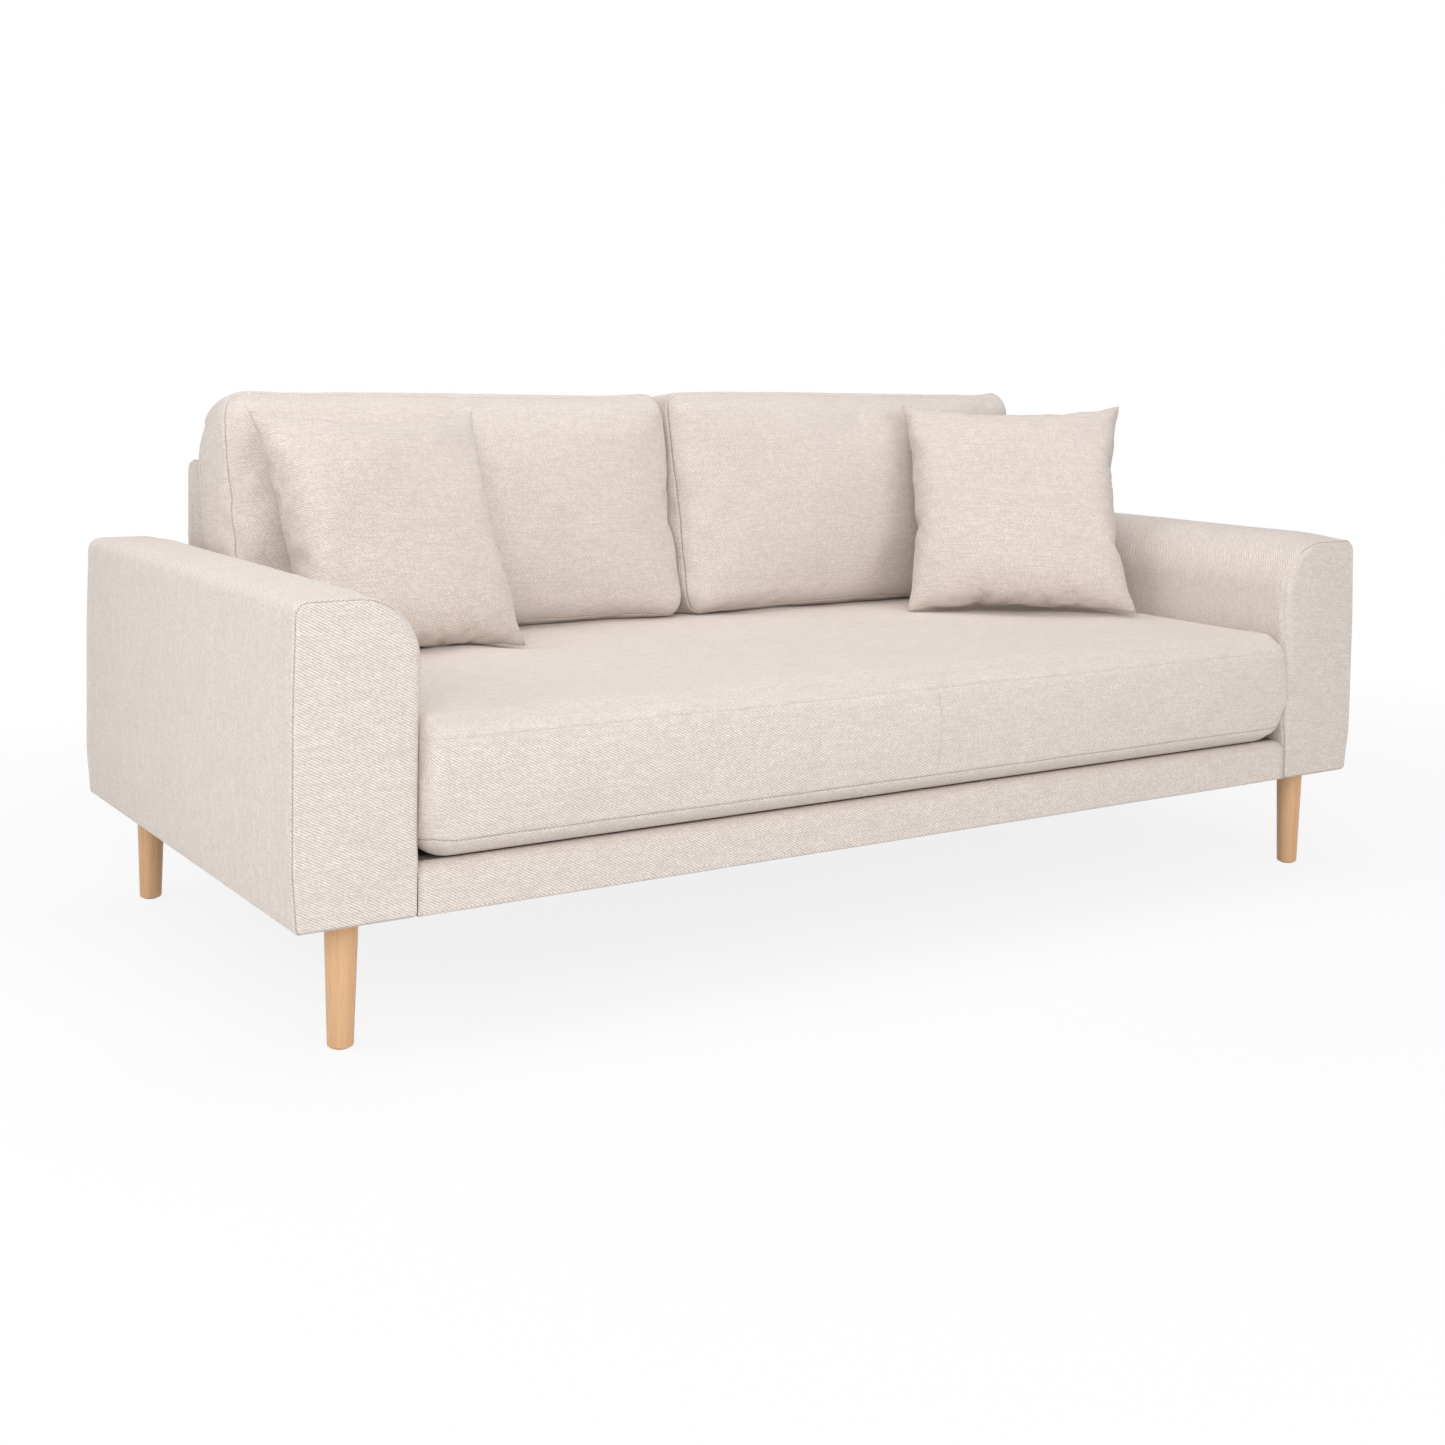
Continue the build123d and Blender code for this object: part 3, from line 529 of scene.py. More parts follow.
def laid_flat(rings):
    """Places on a panel's plane of its rings, from the middle outwards, as its cloth lies when flat."""
    flat = [rings[0, :, :2]]
    for step in np.diff(rings, axis=0):
        level = np.maximum(np.linalg.norm(step[:, :2], axis=1, keepdims=True), 1e-9)
        flat.append(flat[-1] + step[:, :2] / level * np.linalg.norm(step, axis=1, keepdims=True))
    return np.array(flat)


def cover_faces(points, near, seams, wrap_weave, panel_sign, flipped):
    """Faces of a tight cover's rings, and the place on the cloth of each of their corners."""
    count, size = points.shape[:2]
    number = np.arange(count * size).reshape(count, size)
    beside = np.roll(number, -1, axis=1)
    quads = np.stack([number[:-1], beside[:-1], beside[1:], number[1:]], axis=-1)
    run = np.linalg.norm(np.diff(points[count // 2], axis=0, append=points[count // 2][:1]), axis=1)
    run = np.concatenate([[0], np.cumsum(run)])
    ring = np.arange(count - 1)[:, None, None] + np.array([0, 0, 1, 1])
    column = np.arange(size)[None, :, None] + np.array([0, 1, 1, 0])
    steps = np.linalg.norm(np.diff(points, axis=0), axis=2)
    along = np.concatenate([np.zeros((1, size)), np.cumsum(steps, axis=0)])
    along += points[count // 2, :, 2] - along[count // 2]
    here = (ring + 0 * column, column % size + 0 * ring)
    weave = np.stack([*wrap_weave(run[column + 0 * ring], along[here]), near[here]], axis=-1)
    flat = points[..., :2].copy()
    flat[:seams[0] + 1] = laid_flat(points[:seams[0] + 1])
    if seams[1] < count:
        flat[seams[1]:] = laid_flat(points[:seams[1] - 1:-1])[::-1]
    for part, sign in ((slice(0, seams[0]), panel_sign), (slice(seams[1], None), -panel_sign)):
        weave[part, :, :, 0] = sign * flat[here][part][..., 0]
        weave[part, :, :, 1] = flat[here][part][..., 1]
    quads, weave = quads.reshape(-1, 4), weave.reshape(-1, 4, 3)
    ends = [number[0, ::-1], number[-1]]
    if flipped:
        quads, weave, ends = quads[:, ::-1], weave[:, ::-1], [end[::-1] for end in ends]
    weave = [weave.reshape(-1, 3)]
    for end, sign in zip(ends, (panel_sign, -panel_sign)):
        flat = points.reshape(-1, 3)[end]
        weave.append(np.column_stack([sign * flat[:, 0], flat[:, 1], np.zeros(len(flat))]))
    return quads.tolist() + [end.tolist() for end in ends], np.concatenate(weave)


def seam_lines(points, near, facing, seams, turns, place):
    """Runs of points and normals for the stitches in a tight cover's two seams, where they show."""
    lines = []
    for seam, turn, outward in zip(seams, turns, (-1, 1)):
        out = np.column_stack([math.sin(turn) * facing, np.full(len(facing), outward * math.cos(turn))])
        line = points[seam] + out * STITCH_RADIUS * STITCH_RISE
        shown = near[seam] > 0.5
        order = np.append(np.arange(len(shown)), 0)
        if not shown.all():
            order = np.roll(order[:-1], -1 - np.nonzero(~shown & np.roll(shown, -1))[0][0])[:shown.sum()]
        lines.append((place(line[order]), place(out[order])))
    return lines


ARM_STEP = 0.012          # between the points round its outline
ARM_EDGES = (0.007, 0.008)   # rounding of its front and its rear edges
ARM_ROUNDS = {"inner": 0.090, "outer": 0.020, "foot": 0.008}   # of the corners of its outline
ARM_PANEL_CROWN = 0.002   # how far the middle of an end panel stands out
ARM_WAVE, ARM_WAVE_SIZE = 0.0012, 0.32   # height and length of the waves in its padding
ARM_CROWN = {"left": 0.004, "right": 0.010}   # how much higher its top is between the ends
ARM_CROWN_RUN = 0.12      # from an end to where it is as high as that
ARM_FULL = {"left": 0.006, "right": 0.010}   # how far its outside stands out
ARM_INNER = 0.0025        # how far its inside stands out beside the seat, and as much again above it
# Heights over which its inner edge turns soft, its inside stands out in two steps, its outside swells from
# the foot and falls back by half towards the top, and its top rises.
ARM_SOFT, ARM_BESIDE, ARM_ABOVE = (0.25, 0.31), (0.25, 0.33), (0.44, 0.48)
ARM_SWELL, ARM_FALL, ARM_TOP = (0.18, 0.27), (0.45, 0.62), (0.55, 0.62)
ARM_INWARD = (0.2, 0.8)   # how far an edge has turned inwards where it begins to be soft, and is quite soft
ARM_SIDES_LOWER = 0.6     # share of its crown that its top lacks at the sides
# Where its padding is uneven: from these places out and up, in from its ends, and half as much on its top.
WAVED_OUT, WAVED_UP, WAVED_IN, WAVED_TOP = (0.90, 0.94), (0.20, 0.25), 0.05, (0.55, 0.60)

for side, sign in (("left", -1), ("right", 1)):
    low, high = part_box(f"arm_cover_{side}")
    corners = [(low.x, low.z), (high.x, low.z), (high.x, high.z), (low.x, high.z)]
    tops = [ARM_ROUNDS["inner"], ARM_ROUNDS["outer"]][::-sign]
    outline, facing = rounded_outline(corners, [ARM_ROUNDS["foot"], ARM_ROUNDS["foot"], *tops], ARM_STEP)
    half = (high.x - low.x) / 2
    spine = ((low.x + half, low.z + half), (low.x + half, high.z - half))
    soft = eased(-sign * facing[:, 0], *ARM_INWARD) * eased(outline[:, 1], *ARM_SOFT)
    points, near, seams, turns = tight_cover(
        outline, facing, (low.y, high.y), ARM_EDGES, spine, ARM_PANEL_CROWN, soft)
    faces, weave = cover_faces(points, near, seams, lambda run, along: (run, along), 1, True)
    x, z, y = np.moveaxis(points, -1, 0)
    outward = sign * (x - low.x - half) / half
    inner = ARM_INNER * (eased(z, *ARM_BESIDE) + eased(z, *ARM_ABOVE)) * eased(-outward, 0, 1)
    outer = ARM_FULL[side] * eased(z, *ARM_SWELL) * (1 - 0.5 * eased(z, *ARM_FALL)) * eased(outward, 0, 1)
    crown = eased(y, low.y, low.y + ARM_CROWN_RUN) * (1 - eased(y, high.y - ARM_CROWN_RUN, high.y))
    points[..., 0] += sign * (outer - inner)
    points[..., 1] += ARM_CROWN[side] * crown * eased(z, *ARM_TOP) * (1 - ARM_SIDES_LOWER * outward ** 2)
    lines = seam_lines(points, near, facing, seams, turns, lambda table: table[..., [0, 2, 1]])
    form = points[..., [0, 2, 1]].reshape(-1, 3)
    x, y, z = form.T
    outer = ramp(np.abs(x), *WAVED_OUT) * ramp(z, *WAVED_UP)
    inside = ramp(y, low.y, low.y + WAVED_IN) * ramp(high.y - y, 0, WAVED_IN)
    swell = waviness(form, ARM_WAVE_SIZE, ARM_WAVE, 11) * outer * inside
    form[:, 2] += 0.5 * swell * ramp(z, *WAVED_TOP)
    form[:, 0] += sign * swell
    arm = add_piece(f"arm_upholstery_{side}", form, faces, sand_twill, weave)
    upholster(arm, "frame", [f"arm_cover_{side}", f"arm_pad_{side}"])
    add_stitches(f"arm_stitches_{side}", lines, "frame")


# Front border
# A strip of the same twill over a thin layer of wadding, pulled round the front rail between the arms
# and stapled to the rail above and below, under the deck cloth and the dust cover.

BORDER_FOOT, BORDER_ROLL = 0.005, 0.0195   # rounding of its lower and its upper front edge
BORDER_TUCK = 0.0025      # how far its ends spread into the edges of the arms
TUCK_LONG, TUCK_DEEP = 0.03, 0.006   # over this much of its length, and this far back
BORDER_FACE = 0.012       # how far back its face reaches
BORDER_END = 0.05         # how far in from its ends its unevenness is full
BORDER_STEP = 0.006       # between the points round its outline
BORDER_WAVE, BORDER_WAVE_SIZE = 0.0008, 0.35
RAIL_GAP = 0.0002         # between it and the rail

low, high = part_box("front_border")
rail_low, rail_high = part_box("front_rail")
inner, under, above = rail_low.y - RAIL_GAP, rail_low.z - RAIL_GAP, rail_high.z + RAIL_GAP
corners = [(low.y, low.z), (high.y, low.z), (high.y, under), (inner, under), (inner, above), (high.y, above),
           (high.y, high.z), (low.y, high.z)]
outline, facing = rounded_outline(corners, [BORDER_FOOT, 0, 0, 0, 0, 0, 0, BORDER_ROLL], BORDER_STEP)
places = spaced(low.x, high.x, WRAP_STEP / 2)
points = np.array([np.column_stack([outline, np.full(len(outline), along)]) for along in places])
plain = np.zeros(points.shape[:2])
faces, weave = cover_faces(points, plain, (0, len(points)), lambda run, along: (-along, run), -1, False)
form = points[..., [2, 0, 1]].reshape(-1, 3)
aside = np.abs(form[:, 0])
front = ramp(low.y + BORDER_FACE - form[:, 1], 0, BORDER_FACE) * ramp(high.x - aside, 0, BORDER_END)
form[:, 1] -= front * (BORDER_WAVE + waviness(form, BORDER_WAVE_SIZE, BORDER_WAVE, 12))
spread = 1 - eased(form[:, 1], low.y, low.y + TUCK_DEEP)
spread *= eased(aside, high.x - TUCK_LONG, high.x)
form[:, 0] += np.sign(form[:, 0]) * BORDER_TUCK * spread
border = add_piece("front_border_cloth", form, faces, sand_twill, weave)
upholster(border, "frame", ["front_border"])


# Backrest
# The back frame between the arms, with foam over its front and top under a tight twill cover. It leans
# back, and its end panels are sewn in along the rounded edges.

BACK_STEP = 0.016         # between the points round its outline
BACK_EDGES = (0.006, 0.006)   # rounding of the edges of its end panels
BACK_ROUND = 0.020        # rounding of its upper edges
BACK_TOP = 0.080          # depth of its top
BACK_WAVE, BACK_WAVE_SIZE = 0.0012, 0.4
BACK_EDGE = 0.1           # how far in from its edges its shape settles
BACK_REAR = 0.01          # how deep its rear face is taken to be
BACK_OVER = 0.006         # how far its ends stand out over the arms
BACK_TURN = 0.026         # rounding of its front towards the ends
ARM_ROUNDED = (0.54, 0.62)   # height over which the arms round away from it

lift = next(joint["axis"] for joint in frame["joints"] if joint["name"] == "back_cushion_left_lift")
SLOPE = lift[1] / lift[2]
low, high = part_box("back_cover")
foot, knee = low.y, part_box("deck_cloth")[1].z
corners = [(foot, low.z), (high.y, low.z), (high.y, high.z), (high.y - BACK_TOP, high.z), (foot, knee)]
outline, facing = rounded_outline(corners, [0, 0, BACK_ROUND, BACK_ROUND, 0], BACK_STEP)
half = BACK_TOP / 2
spine = ((high.y - half, low.z + half), (high.y - half, high.z - half))
points, near, seams, turns = tight_cover(outline, facing, (low.x, high.x), BACK_EDGES, spine, 0.0)
faces, weave = cover_faces(points, near, seams, lambda run, along: (-along, run), -1, False)
turned = np.clip(np.abs(points[..., 2]) - high.x + BACK_TURN, 0, BACK_TURN)
front = 1 - eased(points[..., 0] - SLOPE * (points[..., 1] - high.z), high.y - BACK_TOP, high.y - half)
points[..., 0] += front * (BACK_TURN - np.sqrt(BACK_TURN ** 2 - turned ** 2))
over = eased(points[..., 1], *ARM_ROUNDED) * eased(np.abs(points[..., 2]), high.x - BACK_EDGE, high.x)
points[..., 2] += np.sign(points[..., 2]) * BACK_OVER * over
form = points[..., [2, 0, 1]].reshape(-1, 3)
x, y, z = form.T
rear = ramp(y - high.y, -BACK_REAR, 0)
for inside in (high.z - z, z - low.z, high.x - np.abs(x)):
    rear = rear * ramp(inside, 0, BACK_EDGE)
form[:, 1] += rear * (BACK_WAVE + waviness(form, BACK_WAVE_SIZE, BACK_WAVE, 13))
back = add_piece("backrest_upholstery", form, faces, sand_twill, weave)
upholster(back, "frame", ["back_cover", "back_pad"])
lines = seam_lines(points, near, facing, seams, turns, lambda table: table[..., [2, 0, 1]])
add_stitches("backrest_stitches", lines, "frame")


# Seat cushion
# One long loose cushion of foam and wadding in a boxed cover: a top and a bottom panel sewn to a strip
# that runs round the four sides and is joined near the middle of the front. The filling swells the cover.

def swollen(points, quads, held, pressure, frames):
    """The points after cloth simulation under pressure from inside, with some points held in place."""
    mesh = bpy.data.meshes.new("swelling")
    mesh.from_pydata(points.tolist(), [], quads.tolist())
    piece = linked("swelling", mesh)
    cloth = piece.modifiers.new("cloth", "CLOTH")
    if held.any():
        piece.vertex_groups.new(name="held").add(np.nonzero(held)[0].tolist(), 1.0, "REPLACE")
        cloth.settings.vertex_group_mass = "held"
    cloth.settings.use_pressure = True
    cloth.settings.uniform_pressure_force = pressure
    cloth.settings.effector_weights.gravity = 0.0
    cloth.point_cache.frame_end = frames
    for number in range(1, frames + 1):
        bpy.context.scene.frame_set(number)
    result = piece.evaluated_get(bpy.context.evaluated_depsgraph_get()).data
    places = np.empty(3 * len(points))
    result.vertices.foreach_get("co", places)
    bpy.data.objects.remove(piece)
    bpy.context.scene.frame_set(1)
    return places.reshape(-1, 3)


def filled(plain_form, coarse, held, frames, direction, amount):
    """How far the filling moves each point of a coarse box grid, with the most in one direction given."""
    points, quads, rank, sides = box_grid(*coarse)
    plain = plain_form(points)
    moved = swollen(plain, quads, held(points), 1.0, frames) - plain
    return rank, moved * (amount / (moved @ direction).max())


def carried(coarse, coarse_rank, values, fine, fine_rank):
    """Values on the points of a coarse even box grid, carried smoothly to those of a finer one."""
    tables = []
    for even, places in zip(coarse, fine):
        at = (places - even[0]) / (even[1] - even[0])
        cell = np.clip(np.floor(at).astype(int), 0, len(even) - 2)
        t = at - cell
        weights = (-t ** 3 + 2 * t ** 2 - t, 3 * t ** 3 - 5 * t ** 2 + 2,
                   -3 * t ** 3 + 4 * t ** 2 + t, t ** 3 - t ** 2)
        table = np.zeros((len(places), len(even)))
        for offset, weight in zip((-1, 0, 1, 2), weights):
            np.add.at(table, (np.arange(len(places)), np.clip(cell + offset, 0, len(even) - 1)), weight / 2)
        tables.append(table)
    result = np.zeros((fine_rank.max() + 1, values.shape[1]))
    for axis in range(3):
        first, second = [table for number, table in enumerate(tables) if number != axis]
        for end in (0, -1):
            side = values[np.take(coarse_rank, end, axis=axis)]
            result[np.take(fine_rank, end, axis=axis)] = np.einsum("ia,jb,abk->ijk", first, second, side)
    return result


EDGE_LINES = 6            # round each edge of a cushion
BESIDE_CUSHION_SEAM = (0.0012, 0.0024, 0.004, 0.0075)   # where more lines lie beside a seam
LEAST_STEP = 0.0005       # lines nearer to each other than this are one
CLEAR_STEP = 0.35         # share of a step by which an even line clears a special one


def fine_lines(start, end, step, rounding, seams=()):
    """Places of grid lines: even ones, closer ones round both edges, and a few beside each seam."""
    edge = rounding * (1 - np.tan(np.radians(np.linspace(0, 45, EDGE_LINES))))
    beside = both_ways(BESIDE_CUSHION_SEAM)
    special = np.concatenate([start + edge, end - edge] + [seam + beside for seam in seams])
    special = np.unique(np.round(special, 6))
    special = special[np.diff(special, prepend=-1) > LEAST_STEP]
    special[[0, -1]] = start, end
    even = spaced(start, end, step)
    clear = np.abs(even[:, None] - special).min(axis=1) > CLEAR_STEP * step
    return np.sort(np.concatenate([even[clear], special]))


def rounded_box(points, low, high, rounding):
    """Box points moved onto a box with rounded edges; rounding holds each point's radius on each axis."""
    core = np.clip(points, low + rounding, high - rounding)
    out = (points - core) / rounding
    length = np.linalg.norm(out, axis=1, keepdims=True)
    largest = np.abs(out).max(axis=1, keepdims=True)
    return core + rounding * out * largest / np.maximum(length, 1e-9)


def normals_of(points, quads):
    """Outward normals at the points of a closed mesh."""
    normals = np.zeros_like(points)
    for corner in range(4):
        here, ahead, behind = (points[quads[:, (corner + turn) % 4]] for turn in (0, 1, -1))
        np.add.at(normals, quads[:, corner], np.cross(ahead - here, behind - here))
    return normals / np.maximum(np.linalg.norm(normals, axis=1, keepdims=True), 1e-12)


def panel_weave(places, quads, sides, near, standing):
    """Place on the cloth of each quad's corners: each side of a box grid is a panel of its own."""
    corners = places[quads]
    weave = np.zeros((len(quads), 4, 3))
    across = (2 if standing else 1, 0, 0)
    upward = (1 if standing else 2, 2, 1)
    for axis in range(3):
        chosen = sides[:, 0] == axis
        weave[chosen, :, 0] = corners[chosen][..., across[axis]]
        weave[chosen, :, 1] = corners[chosen][..., upward[axis]]
    mirrored = (sides[:, 1] == 0) == (sides[:, 0] != 1)
    weave[mirrored, :, 0] *= -1
    weave[..., 2] = near[quads]
    return weave.reshape(-1, 3)


def sewn(form, quads, seams):
    """The form with its seams drawn in, its normals before that, and how near its points are to a seam.

    Each seam has the points that it may draw in, their distances from it, and how deep it is drawn.
    """
    normals = normals_of(form, quads)
    near = np.zeros(len(form))
    for where, distance, drawn in seams:
        form = form - normals * (where * drawn * groove(distance))[:, None]
        near = np.maximum(near, where * drawn * seam_shade(distance))
    return form, normals, near


def seam_round(form, normals, rank, lines, place):
    """Points and normals of a seam round the four sides of a box grid, at a place on its third axis."""
    plane = rank[:, :, np.abs(lines - place).argmin()]
    ring = np.concatenate([plane[:-1, 0], plane[-1, :-1], plane[:0:-1, -1], plane[0, ::-1]])
    return form[ring] + normals[ring] * STITCH_RADIUS * STITCH_RISE, normals[ring]


SEAT_ROUND = {"end_foot": 0.056, "end_top": 0.026, "foot": 0.040, "front": 0.041, "rear": 0.025}
SEAT_CORNER = 0.020       # rounding of its upright edges, halfway up
SEAT_CROWN = 0.005        # how much higher its top is in the middle
SEAT_BULGE = 0.008        # how far the filling pushes its front out
SEAT_FULL = 0.015         # how much further its front stands out, halfway up
SEAT_SEAMS = {0.281: 0.65, 0.424: 0.35}   # heights of the two seams, and how deep each is drawn in
SEAT_JOIN = 0.025         # place of the upright seam on the front
SEAT_JOIN_DRAWN = 0.45    # how deep it is drawn in
SEAT_COARSE, SEAT_STEP = 0.030, 0.011   # of the mesh that swells, and of the finished one
SEAT_FRAMES = 5           # for which it swells
TOUCH = 0.001             # nearer than this, a point lies on a side of its box
SEAT_RISE = (0.05, 0.06)  # from its foot and its top, between which its rounding changes
SEAT_BEHIND = 0.1         # from its front and its rear, between which it changes too
SEAT_UPRIGHT = ((0.03, 0.09), (0.11, 0.05))   # above its foot and below its top, where its sides turn upright
SEAT_EDGE = 0.06          # how far in from an edge its shape settles
SEAT_EVEN = 0.6           # the lower, the more evenly its front stands out over its height
SEAT_WAVE = 0.0013        # unevenness of the filling
SEAT_WAVE_SIZES = {"top": 0.19, "front": 0.12}   # length of its waves
SEAT_DENTS = ((-0.849, 0.008, 0.006), (-0.424, 0.072, 0.0115))   # under the tips of the left pillow
DENT_WIDTH = 0.07
BACK_GAP = 0.0008         # from a cushion to the backrest

low, high = (np.array(corner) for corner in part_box("seat_cushion_cover"))
rear_foot = foot + SLOPE * (low[2] - knee) - BACK_GAP / lift[2]
box_low = np.array([low[0], low[1] + SEAT_BULGE, low[2]])
box_high = np.array([high[0], rear_foot, high[2] - SEAT_CROWN])


def seat_form(points):
    """A plain seat cushion with rounded edges, its rear leaning along the backrest."""
    height = points[:, 2]
    upper = eased(height, box_low[2] + SEAT_RISE[0], box_high[2] - SEAT_RISE[1])
    behind = eased(points[:, 1], box_low[1] + SEAT_BEHIND, box_high[1] - SEAT_BEHIND)
    ends = SEAT_ROUND["end_foot"] + (SEAT_ROUND["end_top"] - SEAT_ROUND["end_foot"]) * upper
    edges = SEAT_ROUND["foot"] + (SEAT_ROUND["front"] - SEAT_ROUND["foot"]) * upper
    edges += (SEAT_ROUND["rear"] - edges) * behind
    above, below = SEAT_UPRIGHT
    halfway = eased(height, box_low[2] + above[0], box_low[2] + above[1])
    halfway *= 1 - eased(height, box_high[2] - below[0], box_high[2] - below[1])
    upright = edges + (SEAT_CORNER - edges) * halfway
    rounding = np.stack([ends + (SEAT_CORNER - ends) * halfway, upright, edges], axis=1)
    form = rounded_box(points, box_low, box_high, rounding)
    share = ramp(form[:, 1], box_low[1], box_high[1])
    form[:, 1] += SLOPE * (form[:, 2] - low[2]) * share ** 3
    return form


def seat_held(points):
    """The underside, the rear and the ends, which the deck, the backrest and the arms hold."""
    under, behind = points[:, 2] < box_low[2] + TOUCH, points[:, 1] > box_high[1] - TOUCH
    return under | behind | (np.abs(points[:, 0]) > box_high[0] - TOUCH)


coarse = [spaced(first, last, SEAT_COARSE) for first, last in zip(box_low, box_high)]
coarse_rank, moved = filled(seat_form, coarse, seat_held, SEAT_FRAMES, np.array([0.0, 0.0, 1.0]), SEAT_CROWN)
fine = [fine_lines(box_low[0], box_high[0], SEAT_STEP, SEAT_ROUND["end_foot"], [SEAT_JOIN]),
        fine_lines(box_low[1], box_high[1], SEAT_STEP, SEAT_ROUND["front"]),
        fine_lines(box_low[2], box_high[2], SEAT_STEP, SEAT_ROUND["front"], SEAT_SEAMS)]
flat, quads, rank, sides = box_grid(*fine)
form = seat_form(flat) + carried(coarse, coarse_rank, moved, fine, rank)
share = ramp(flat[:, 1], box_low[1], box_high[1])
crown = box_high[2] + SEAT_CROWN * 4 * share * (1 - share)
form[:, 2] = np.minimum(form[:, 2], crown)
form[:, 0] = np.clip(form[:, 0], low[0], high[0])
form[:, 1] = np.maximum(form[:, 1], low[1])
tall = np.sin(math.pi * ramp(flat[:, 2], box_low[2], box_high[2])) ** SEAT_EVEN
ahead = 1 - eased(flat[:, 1], box_low[1], box_low[1] + SEAT_EDGE)
form[:, 1] -= SEAT_FULL * tall * ahead
above = eased(flat[:, 2], box_high[2] - SEAT_EDGE, box_high[2])
inside = eased(box_high[0] - np.abs(flat[:, 0]), 0, SEAT_EDGE) * above
form[:, 2] += SEAT_WAVE * (waviness(flat, SEAT_WAVE_SIZES["top"], 1.0, 31) - 1) * inside
form[:, 1] += SEAT_WAVE * waviness(flat, SEAT_WAVE_SIZES["front"], 1.0, 32) * ahead * tall
for x, y, depth in SEAT_DENTS:
    reach = np.hypot(flat[:, 0] - x, flat[:, 1] - y)
    form[:, 2] -= depth * np.exp(-(reach / DENT_WIDTH) ** 2) * above
front = flat[:, 1] < box_low[1] + TOUCH
boxing = front | (flat[:, 1] > box_high[1] - TOUCH) | (np.abs(flat[:, 0]) > box_high[0] - TOUCH)
front &= (flat[:, 2] > min(SEAT_SEAMS)) & (flat[:, 2] < max(SEAT_SEAMS))
seams = [(boxing, flat[:, 2] - height, drawn) for height, drawn in SEAT_SEAMS.items()]
seams.append((front, flat[:, 0] - SEAT_JOIN, SEAT_JOIN_DRAWN))
form, normals, near = sewn(form, quads, seams)
weave = panel_weave(flat, quads, sides, near, False)
seat = add_piece("seat_cushion_sewn", form, quads.tolist(), sand_twill, weave)
upholster(seat, "seat_cushion", ["seat_cushion_cover", "seat_cushion_core"])
line = seam_round(form, normals, rank, fine[2], min(SEAT_SEAMS))
add_stitches("seat_stitches", [line], "seat_cushion")


# Back cushions
# Two loose boxed cushions stuffed with fibre round a foam core. They lean on the backrest, and their
# fronts are full. A strip is sewn in between the front and the rear panel, round all four sides.

CUSHION_ROUND = {"front": 0.034, "rear": 0.008, "front_top": 0.050, "rear_top": 0.074, "front_foot": 0.045,
                 "rear_foot": 0.020}
CUSHION_CORNERS = {"left": (0.050, 0.048), "right": (0.022, 0.032)}   # front and rear of its outer top corner
CUSHION_TALL = 0.416      # up the slope of the backrest
CUSHION_AHEAD = (0.35, 0.65)   # shares of its thickness between which its rear turns into its front
CUSHION_TOP = (0.12, 0.02)   # below its top, where its rounding changes
CUSHION_FOOT = (0.04, 0.14)   # and above its foot
CUSHION_OUTER = (0.55, 0.75)   # from the middle of the sofa, where its outer corner begins
CUSHION_ARCH = {"left": (0.005, 0.0), "right": (0.010, 0.005)}   # rise of its top edge, and of its right end
ARCH_SCALE = 27 / 4       # brings an arch of across * (1 - across) ** 2 up to 1
ARCH_RIGHT = (0.4, 0.9)   # shares of its width over which the right end rises
CUSHION_OVER = (0.008, 0.019)   # how far its front and its rear stand out over the arm
OVER_END = (0.78, 0.871)  # from the middle of the sofa, where they do
CUSHION_REAR = 0.02       # how deep its rear is taken to be there
CUSHION_THICK = 0.128     # at the edges
CUSHION_FULL = 0.032      # how much thicker the filling makes the middle
CUSHION_SEAMS = (0.014, 0.105)   # distances from its rear at which the strip is sewn in
CUSHION_WAVE, CUSHION_WAVE_SIZE = 0.0018, 0.20   # unevenness of its filling
CUSHION_LEVEL = (0.01, 0.06)   # height above its foot over which its unevenness begins
CUSHION_COARSE, CUSHION_STEP, CUSHION_FRAMES = 0.022, 0.0095, 11   # as for the seat cushion
up = np.array([0.0, lift[1], lift[2]])
out = np.array([0.0, -lift[2], lift[1]])

